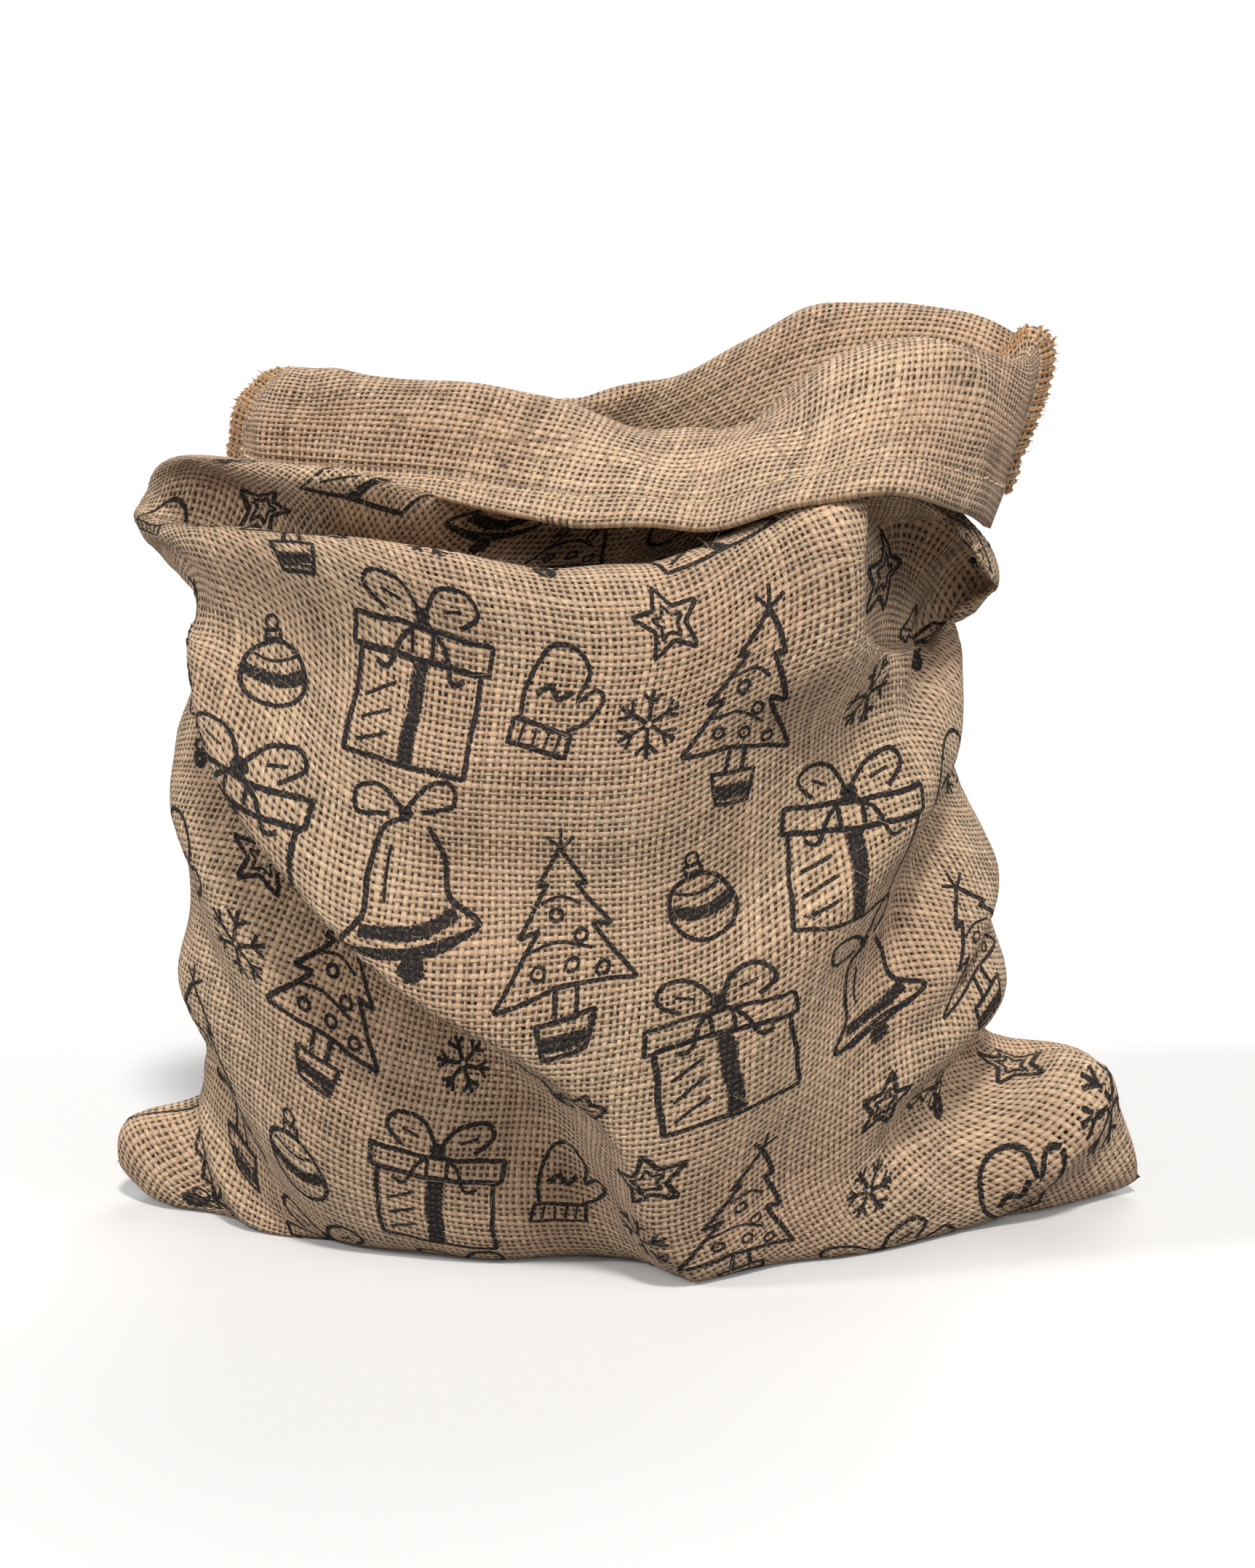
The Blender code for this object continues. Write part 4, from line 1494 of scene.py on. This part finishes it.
REPEAT = (
    Placed(Motif.PARCEL, 142, 115, -7, 0.96),
    Placed(Motif.FIR, 40, 100, 5, 0.96),
    Placed(Motif.BELL, 149, 51, 9, 0.96),
    Placed(Motif.FIR, 101, 175, -6, 0.92),
    Placed(Motif.PARCEL, 91, 53, 8, 0.94),
    Placed(Motif.MITTEN, 31, 181, -12),
    Placed(Motif.HOLLY, 33, 34, -8),
    Placed(Motif.BAUBLE, 87, 109, 6),
    Placed(Motif.STAR, 69, 7, 10),
    Placed(Motif.FLAKE, 66, 174, 0),
    Placed(Motif.STAR, 153, 0, -14, 0.9),
    Placed(Motif.FLAKE, 151, 164, 20, 0.85),
)


@dataclass
class Print:
    """The ink on the printed face: strokes of a repeating drawing, each a band on the cloth."""

    cloth: Cloth
    name: str = "printed_motifs"
    face: Face = Face.PRINTED
    repeat_around: float = 160.0
    repeat_along: float = 200.0
    drop: float = 66.0  # how far each repeat lies below the one before it
    first: float = 3.0  # where the print starts and ends, up the cloth
    last: float = 480.0
    largest: float = 30.0  # how far a motif reaches past its middle
    step: float = 1.5  # spacing of the points along a stroke
    curve_steps: int = 12  # from one point of a smooth stroke to the next
    lift: float = 0.14  # of the ink above the cloth
    misprint: float = 4.0  # degrees that a motif may be turned by
    wobble: float = 0.25  # how far the pen strays
    quickness: tuple[float, float] = (0.25, 0.45)  # range of how quickly, in radians a mm
    pressure: tuple[float, float] = (0.85, 1.1)  # range of a stroke's breadth

    def places(self) -> list[tuple[Placed, float, float]]:
        """Every motif of every repeat.

        Returns:
            The motifs, each with the place of its middle on the cloth.
        """
        grid = [(i, j) for i in range(round(GIRTH / self.repeat_around)) for j in range(-1, 4)]
        every = [
            (row, row.around + i * self.repeat_around, row.along + rise)
            for row in REPEAT
            for i, j in grid
            for rise in [j * self.repeat_along - i * self.drop % self.repeat_along]
        ]
        low, high = self.first - self.largest, self.last + self.largest
        return [place for place in every if low < place[2] < high]

    def trace(self, stroke: Stroke) -> np.ndarray:
        """Even points along a stroke, through its corners or as a smooth curve.

        A smooth stroke is a Catmull-Rom curve: (2b + (c-a)t + (2a-5b+4c-d)t2 + (3b-a-3c+d)t3)/2.

        Args:
            stroke: the stroke.

        Returns:
            Its points.
        """
        points = np.array(stroke.points, float)
        closed = stroke.line in (Line.LOOP, Line.OUTLINE)
        if closed:
            points = np.concatenate([points, points[:1]])
        if stroke.line in (Line.CURVE, Line.LOOP) and len(points) > 2:
            before, after = (points[-2], points[1]) if closed else (points[0], points[-1])
            a, b = np.concatenate([[before], points[:-2]]), points[:-1]
            c, d = points[1:], np.concatenate([points[2:], [after]])
            t = np.linspace(0, 1, self.curve_steps, endpoint=False)[:, None, None]
            curve = 2 * b + (c - a) * t + (2 * a - 5 * b + 4 * c - d) * t**2
            curve = (curve + (3 * b - a - 3 * c + d) * t**3) / 2
            points = np.concatenate([curve.transpose(1, 0, 2).reshape(-1, 2), points[-1:]])
        length = run_up(np.linalg.norm(np.diff(points, axis=0), axis=1))
        at = np.linspace(0, length[-1], max(3, int(length[-1] / self.step) + 1))
        return np.stack([np.interp(at, length, points[:, k]) for k in range(2)], 1)

    def pen_band(self, stroke: Stroke, spin: np.ndarray, draw: np.random.Generator) -> np.ndarray:
        """A stroke as the pen leaves it, three points wide.

        It strays by the wobble times a sine of the other coordinate.

        Args:
            stroke: the stroke.
            spin: the motif's turn and size, as a matrix.
            draw: where its random numbers come from.

        Returns:
            A grid of places, in millimetres from the motif's middle.
        """
        line = self.trace(stroke) @ spin
        swing = line[:, ::-1] * draw.uniform(*self.quickness) + draw.uniform(0, 6, 2)
        line = line + self.wobble * np.sin(swing)
        run = unit(np.gradient(line, axis=0))
        if stroke.line in (Line.LOOP, Line.OUTLINE):
            run[0] = run[-1] = unit(run[0] + run[-1])
        aside = np.stack([-run[:, 1], run[:, 0]], 1)
        offset = np.array([-0.5, 0.0, 0.5]) * stroke.width * draw.uniform(*self.pressure)
        return line[:, None] + offset[None, :, None] * aside[:, None]

    def build(self, ink: Material) -> Piece:
        """Lays every stroke of every repeat on the cloth, as a band three points wide.

        Args:
            ink: its finish.

        Returns:
            The print.
        """
        draw = np.random.default_rng(SEED + 1)
        way = -1 if self.face is Face.PRINTED else 1
        points, faces, threads, strokes = [], [], [], []
        count = 0
        for row, around, along in self.places():
            turn = math.radians(row.turn + draw.uniform(-self.misprint, self.misprint))
            across, up = row.size * math.cos(turn), row.size * math.sin(turn)
            spin = np.array([[across, up], [-up, across]])
            for stroke in DRAWINGS[row.motif]():
                band = self.pen_band(stroke, spin, draw) + (around, along)
                flat = band.reshape(-1, 2)
                quads = cells(np.arange(len(flat)).reshape(band.shape[:2])).reshape(-1, 4)
                middle = flat[quads].mean(axis=1)
                inked = (middle[:, 1] > self.first) & (middle[:, 1] < self.last)
                if not inked.any():
                    continue
                quads = quads[inked][:, ::way]
                corners = flat[quads]
                panel = (middle[inked][:, :1] % GIRTH >= FLAT_WIDTH).astype(int)
                panel = np.broadcast_to(panel, corners.shape[:2])
                shares = np.arange(len(band))[:, None] * self.step / 100
                shares = np.stack(np.broadcast_arrays(np.array([0, 0.5, 1.0]), shares), -1)
                points.append(self.cloth.at(flat[:, 0], flat[:, 1], self.face, self.lift).points)
                threads.append(self.cloth.at(corners[..., 0], corners[..., 1], panel=panel).weave * MM)
                strokes.append(shares.reshape(-1, 2)[quads])
                faces.append(quads + count)
                count += len(flat)
        used, corners = np.unique(np.concatenate(faces), return_inverse=True)
        maps = {"Threads": np.concatenate(threads), "Stroke": np.concatenate(strokes)}
        corners = corners.reshape(-1, 4).tolist()
        piece = add_piece(self.name, np.concatenate(points)[used], corners, maps, ink)
        return piece


@dataclass
class HemStitches:
    """The row of stitches that holds the turned hem, seen on both faces of the cloth."""

    cloth: Cloth
    depth: float = 13.0  # from the hem's edge
    pitch: float = 6.4  # from stitch to stitch
    length: float = 5.2
    radius: float = 0.5
    breadth: tuple[float, float] = (0.85, 1.1)  # range of a stitch's thickness
    rise: float = 0.1  # of the thread's middle above the cloth
    dive: float = 2.5  # radii that a stitch's two ends go down by
    drift: float = 0.22  # how far a stitch strays from the row
    slant: float = 0.5  # and its far end from its near one
    steps: int = 6
    sides: int = 6

    def build(self, thread: Material) -> list[Piece]:
        """Lays one flat arch of thread for each stitch.

        A stitch's height is its rise, but at its two ends it dives by 2.5 times the radius,
        along a curve of (2 share - 1) to the sixth power.

        Args:
            thread: its finish.

        Returns:
            The row on each face.
        """
        draw = np.random.default_rng(SEED + 2)
        count = round(GIRTH / self.pitch)
        share = np.linspace(0, 1, self.steps)
        dive = np.abs(2 * share - 1) ** 6 * self.dive * self.radius
        pieces = []
        for face in Face:
            start = np.arange(count) * GIRTH / count + 0.5 * self.pitch * face.value
            around = start[:, None] + self.length * share
            along = LENGTH - self.depth + draw.normal(0, self.drift, (count, 1)) + 0 * around
            along = along + np.linspace(0, self.slant, self.steps) * draw.normal(0, 1, (count, 1))
            patch = self.cloth.at(around, along, face)
            path = patch.points + (self.rise - dive)[None, :, None] * patch.normals
            radii = self.radius * draw.uniform(*self.breadth, (count, 1))
            points, faces = tubes(path, patch.normals, radii, self.sides)
            name = f"hem_stitches_{face.name.lower()}"
            pieces.append(add_piece(name, points, faces, {}, thread))
        return pieces


@dataclass
class SeamTrim:
    """The overlocked allowance of a side seam, which shows where the mouth is turned down.

    It is a thin band that stands off the plain face along the seam and is laid back towards
    the rear panel, wrapped in a coil of rust-coloured thread.
    """

    cloth: Cloth
    around: float  # the seam's place
    name: str
    first: float = 470.0  # where the band starts and ends, up the cloth
    last: float = 558.0
    root: float = 2.0  # how far behind the seam it is rooted
    beside: float = 6.0  # and where it looks how the cloth runs on
    lean: float = 1.2  # how far the band stands off the cloth, for the way it is laid back
    outwards: float = 1.1  # and how far it turns to the sack's side
    rumple: tuple[float, float] = (0.16, 7.3)  # how deep and how long its slow waves are
    crinkle: tuple[float, float] = (0.1, 3.1)  # and its quick ones
    width: float = 8.5
    thick: float = 1.9
    buried: float = 0.8  # how much of it is in the cloth
    fray: tuple[float, float] = (0.35, 1.9)  # how far its edge comes and goes, and how fast
    step: float = 2.2  # from ring to ring of its points
    corners: int = 12  # of each ring
    weave_shift: float = 50.0  # takes its yarns from beyond the seam
    coil_pitch: float = 3.2
    coil_inset: float = 2.0  # from the band's two ends
    coil_steps: int = 14  # points in each turn
    coil_middle: float = 0.56  # of the width
    coil_reach: float = 0.44  # to both sides of that
    coil_lift: float = 0.8  # of the thread's middle off the band, in its radii
    thread_radius: float = 0.42
    thread_sides: int = 6
    ends: int = 150  # of yarn in the fringe
    end_length: tuple[float, float] = (0.8, 2.5)
    end_radius: tuple[float, float] = (0.12, 0.32)
    end_taper: tuple[float, ...] = (1, 0.9, 0.7, 0.35)  # from root to tip
    end_sides: int = 4
    end_bend: float = 0.35  # how far their tips stray, in their lengths
    end_root: float = 1.2  # how deep in the band's edge they start
    end_spread: float = 0.5  # how far from its middle

    def frame(self, along: np.ndarray) -> tuple[np.ndarray, np.ndarray, np.ndarray]:
        """The band's root, the way it reaches, and the way out of its broad side.

        Args:
            along: places up the cloth.

        Returns:
            Three sets of rows, one row for each place.
        """
        back = 1.0 if self.around > 0 else -1.0
        seam = np.full_like(along, self.around)
        root = self.cloth.at(seam + back * self.root, along, Face.PLAIN)
        beside = self.cloth.at(seam + back * self.beside, along, Face.PLAIN)
        aside = unit(beside.points - root.points)
        slow = self.rumple[0] * np.sin(along / self.rumple[1] + self.around)
        quick = self.crinkle[0] * np.sin(along / self.crinkle[1])
        lean = self.lean + (slow + quick)
        reach = unit(lean[:, None] * root.normals + aside + (back * self.outwards, 0, 0))
        rise = unit(np.gradient(root.points, axis=0))
        out = unit(np.cross(rise, reach))
        out *= np.sign(np.sum(out * root.normals, axis=-1, keepdims=True) + TINY)
        return root.points, reach, out

    def band(self, cloth: Material) -> Piece:
        """The allowance: a flat ring of points carried along the seam.

        The ring is a superellipse of power 4, half the width by half the thickness: its
        sides go with the square roots of the cosine and the sine.

        Args:
            cloth: its finish.

        Returns:
            The band.
        """
        along = np.arange(self.first, self.last, self.step)
        root, reach, out = self.frame(along)
        turn = np.arange(self.corners) * 2 * np.pi / self.corners
        across, up = (np.sign(wave) * np.abs(wave) ** 0.5 for wave in (np.cos(turn), np.sin(turn)))
        edge = 0.5 * self.width * (1 + across) - self.buried
        fray = self.fray[0] * np.sin(along * self.fray[1])
        edge = edge[None, :] + fray[:, None] * (across > 0.5)
        ring = root[:, None] + edge[..., None] * reach[:, None]
        ring = ring + (0.5 * self.thick * up)[None, :, None] * out[:, None]
        number = np.arange(edge.size)
        quads = ring_quads(*edge.shape)
        caps = np.stack([number[: self.corners][::-1], number[-self.corners :]])
        side = edge.reshape(-1) * MM + (self.around + self.weave_shift) * MM
        place = np.stack([side, np.repeat(along, self.corners) * MM], 1)
        maps = {"Threads": place[np.concatenate([quads.ravel(), caps.ravel()])]}
        faces = quads.tolist() + caps.tolist()
        piece = add_piece(self.name + "_allowance", ring.reshape(-1, 3), faces, maps, cloth)
        return turned_out(piece)

    def coil(self, thread: Material) -> Piece:
        """The overlock thread: a coil round the band's outer half.

        Args:
            thread: its finish.

        Returns:
            The coil.
        """
        turns = (self.last - self.first - 2 * self.coil_inset) / self.coil_pitch
        turn = np.linspace(0, turns * 2 * np.pi, int(turns * self.coil_steps))
        along = self.first + self.coil_inset + turn / (2 * np.pi) * self.coil_pitch
        root, reach, out = self.frame(along)
        half = self.coil_reach * self.width + 0.5 * self.thread_radius
        across = self.coil_middle * self.width + half * np.cos(turn)
        up = (0.5 * self.thick + self.coil_lift * self.thread_radius) * np.sin(turn)
        path = root + across[:, None] * reach + up[:, None] * out
        radii = np.array([[self.thread_radius]])
        points, faces = tubes(path[None], out[None], radii, self.thread_sides)
        return add_piece(self.name + "_overlock", points, faces, {}, thread)

    def fringe(self, fibre: Material) -> Piece:
        """Short ends of yarn that stick out past the coil, each bent to its own side.

        An end's path is its root plus its length times (share times the band's reach, plus
        share squared times a random bend), and it tapers to its tip.

        Args:
            fibre: its finish.

        Returns:
            The fringe.
        """
        draw = np.random.default_rng(SEED + 3 + int(self.around > 0))
        count = self.ends
        along = np.sort(draw.uniform(self.first + 1, self.last - 1, count))
        root, reach, out = self.frame(along)
        length = draw.uniform(*self.end_length, (count, 1, 1))
        share = np.linspace(0, 1, len(self.end_taper))[None, :, None]
        bend = draw.normal(0, self.end_bend, (count, 1, 3))
        depth = draw.normal(0, self.end_spread, (count, 1))
        start = root + (self.width - self.end_root) * reach + depth * out
        path = start[:, None] + length * (share * reach[:, None] + share**2 * bend)
        radii = draw.uniform(*self.end_radius, (count, 1)) * np.array(self.end_taper)
        up = np.broadcast_to(out[:, None], path.shape)
        points, faces = tubes(path, up, radii, self.end_sides)
        return add_piece(self.name + "_frayed_ends", points, faces, {}, fibre)


def turned_out(piece: Piece) -> Piece:
    """Turns a closed piece's faces to point outwards.

    Args:
        piece: the piece.

    Returns:
        The same piece.
    """
    shell = bmesh.new()
    shell.from_mesh(piece.data)
    bmesh.ops.recalc_face_normals(shell, faces=shell.faces)
    shell.to_mesh(piece.data)
    shell.free()
    return piece


class Growth(NamedTuple):
    """Where fibres grow: a face, a stretch of it up the cloth, and its share of them all."""

    face: Face
    first: float
    last: float
    part: float


@dataclass
class LooseFibres:
    """Jute fibres that stand off the cloth: thin bent ribbons that taper to their tips."""

    cloth: Cloth
    count: int = 9000
    fields: tuple[Growth, ...] = (
        Growth(Face.PRINTED, 3, 480, 0.72),
        Growth(Face.PLAIN, 380, 559, 0.28),
    )
    length: tuple[float, float] = (2.5, 7.0)
    long_share: float = 0.06  # of the fibres, which are longer
    longer: float = 2.0  # times
    lift: tuple[float, float] = (0.05, 0.55)  # range of how steeply they stand
    lift_power: float = 1.3  # that makes most of them lie flatter
    bend: float = 0.28  # how far their tips stray, in their lengths
    start: float = 0.12  # of the root above the cloth
    width: float = 0.10
    taper: tuple[float, ...] = (1.0, 0.9, 0.75, 0.55, 0.3)  # of its width, from root to tip
    lowest: float = 0.15  # keeps them off the floor
    foremost: float = -119.0  # and within the sack's own depth

    def build(self, fibre: Material) -> Piece:
        """Grows the fibres from random places on the faces that show.

        A fibre's path is its root plus length times (share times a heading along the cloth,
        plus share to the power 0.8 times its lift along the normal, plus share squared times
        a random bend).

        Args:
            fibre: its finish.

        Returns:
            All the fibres, as one piece.
        """
        draw = np.random.default_rng(SEED + 5)
        share = np.linspace(0, 1, len(self.taper))[None, :, None]
        paths, asides = [], []
        for field in self.fields:
            count = int(self.count * field.part)
            around = draw.uniform(0, GIRTH, count)
            along = draw.uniform(field.first, field.last, count)
            patch = self.cloth.at(around, along, field.face)
            normal = patch.normals[:, None]
            heading = draw.normal(0, 1, (count, 1, 3))
            heading = unit(heading - np.sum(heading * normal, axis=-1, keepdims=True) * normal)
            length = draw.uniform(*self.length, (count, 1, 1))
            length *= np.where(draw.uniform(0, 1, (count, 1, 1)) < self.long_share, self.longer, 1.0)
            lift = draw.uniform(*self.lift, (count, 1, 1)) ** self.lift_power
            bend = draw.normal(0, self.bend, (count, 1, 3))
            path = patch.points[:, None] + length * (share * heading + share**2 * bend)
            path += (length * lift * share**0.8 + self.start) * normal
            paths.append(path)
            asides.append(unit(np.cross(unit(np.gradient(path, axis=1)), normal)))
        path, aside = np.concatenate(paths), np.concatenate(asides)
        path[..., 2] = np.maximum(path[..., 2], self.lowest)
        path[..., 1] = np.maximum(path[..., 1], self.foremost)
        wide = self.width * np.array(self.taper)[None, :, None]
        points = np.stack([path - wide / 2 * aside, path + wide / 2 * aside], axis=2)
        each = 2 * points.shape[1]
        quads = cells(np.arange(each).reshape(-1, 2)).reshape(-1, 4)
        faces = (quads + np.arange(len(points))[:, None, None] * each).reshape(-1, 4)
        return add_piece("loose_fibres", points.reshape(-1, 3), faces.tolist(), {}, fibre)


@dataclass
class Lamp:
    """A broad lamp so far off that its light comes evenly from one side."""

    name: str
    azimuth: float  # degrees from the front, towards the right
    elevation: float
    power: float
    spread: float  # how wide the lamp looks from the sack, in degrees
    tint: str = "ffffff"

    def build(self) -> None:
        """Turns the lamp to shine on the sack."""
        light = bpy.data.lights.new(self.name, "SUN")
        light.energy, light.angle = self.power, math.radians(self.spread)
        light.color = linear(self.tint)[:3]
        turn, rise = math.radians(self.azimuth), math.radians(self.elevation)
        to_lamp = Vector((math.sin(turn), -math.cos(turn), math.tan(rise)))
        lamp = bpy.data.objects.new(self.name, light)
        lamp.rotation_euler = (-to_lamp).to_track_quat("-Z", "Y").to_euler()
        bpy.context.scene.collection.objects.link(lamp)


@dataclass
class Studio:
    """A pale floor, soft lamps and the camera."""

    target: tuple[float, float, float] = (-0.0015, 0.0029, 0.165)
    elevation: float = 15.0
    distance: float = 1.395
    lens: float = 85.0
    film: float = 36.0
    nearest: float = 0.01
    floor_reach: float = 40.0
    sky: float = 0.2
    lamps: tuple[Lamp, ...] = (
        Lamp("key", 8, 62, 2.1, 7, "fffcf8"),
        Lamp("side", -75, 28, 1.4, 8),
        Lamp("front", 5, 28, 0.5, 20),
        Lamp("fill", 60, 36, 0.7, 40),
        Lamp("rear", 165, 45, 1.0, 40),
    )

    def build(self) -> None:
        """Sets up the floor, the lamps, the world and the camera."""
        self.camera()
        self.floor()
        self.world()
        for lamp in self.lamps:
            lamp.build()
        bpy.context.scene.view_settings.view_transform = "Standard"

    def camera(self) -> None:
        """A long lens at the front, a little above the sack."""
        tilt = math.radians(self.elevation)
        back = Vector((0, -math.cos(tilt), math.sin(tilt)))
        data = bpy.data.cameras.new("camera")
        data.lens, data.sensor_width, data.clip_start = self.lens, self.film, self.nearest
        camera = bpy.data.objects.new("camera", data)
        camera.location = Vector(self.target) + back * self.distance
        camera.rotation_euler = (-back).to_track_quat("-Z", "Y").to_euler()
        bpy.context.scene.collection.objects.link(camera)
        bpy.context.scene.camera = camera

    def floor(self) -> None:
        """A flat floor that the sack stands on."""
        r = self.floor_reach
        mesh = bpy.data.meshes.new("floor")
        mesh.from_pydata([(-r, -r, 0), (r, -r, 0), (r, r, 0), (-r, r, 0)], [], [(0, 1, 2, 3)])
        mesh.materials.append(PaintedFloor().material())
        floor = bpy.data.objects.new("floor", mesh)
        bpy.context.scene.collection.objects.link(floor)

    def world(self) -> None:
        """An even white sky, weaker as a light than to the eye."""
        world = bpy.data.worlds.new("sky")
        bpy.context.scene.world = world
        graph = Graph(world)
        white = linear("ffffff")
        seen = graph.add("LightPath")
        cast = graph.add("Background", white, self.sky)
        shown = graph.add("Background", white, 1.0)
        graph.add("OutputWorld", graph.add("MixShader", seen, cast, shown))


def main() -> None:
    """Builds the sack piece by piece and reports each."""
    logging.basicConfig(level=logging.INFO, format="%(name)s: %(message)s")
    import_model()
    Studio().build()
    cloth = Cloth()
    burlap = Burlap().material()
    tan = SpunYarn("spun_polyester_thread_tan", "c0a078", "e4cca4").material()
    rust = SpunYarn("spun_polyester_thread_rust", "9c6a3c", "c8985e").material()
    fibre = SpunYarn("loose_jute_fibre", "c9a87c", "f0dcb8", grain=3.0).material()
    sack = SackCloth(cloth).build(burlap)
    sewn_on = [Print(cloth).build(Ink().material())]
    faint = Ink(share=0.13, name="screen_print_ink_seen_through_burlap").material()
    seen_through = Print(cloth, "print_showing_through", Face.PLAIN, first=482, last=545)
    sewn_on.append(seen_through.build(faint))
    sewn_on += HemStitches(cloth).build(tan)
    for around, name in ((0.0, "left_seam"), (FLAT_WIDTH, "right_seam")):
        trim = SeamTrim(cloth, around, name)
        sewn_on += [trim.band(burlap), trim.coil(rust), trim.fringe(rust)]
    sewn_on.append(LooseFibres(cloth).build(fibre))


if __name__ == "__main__":
    main()
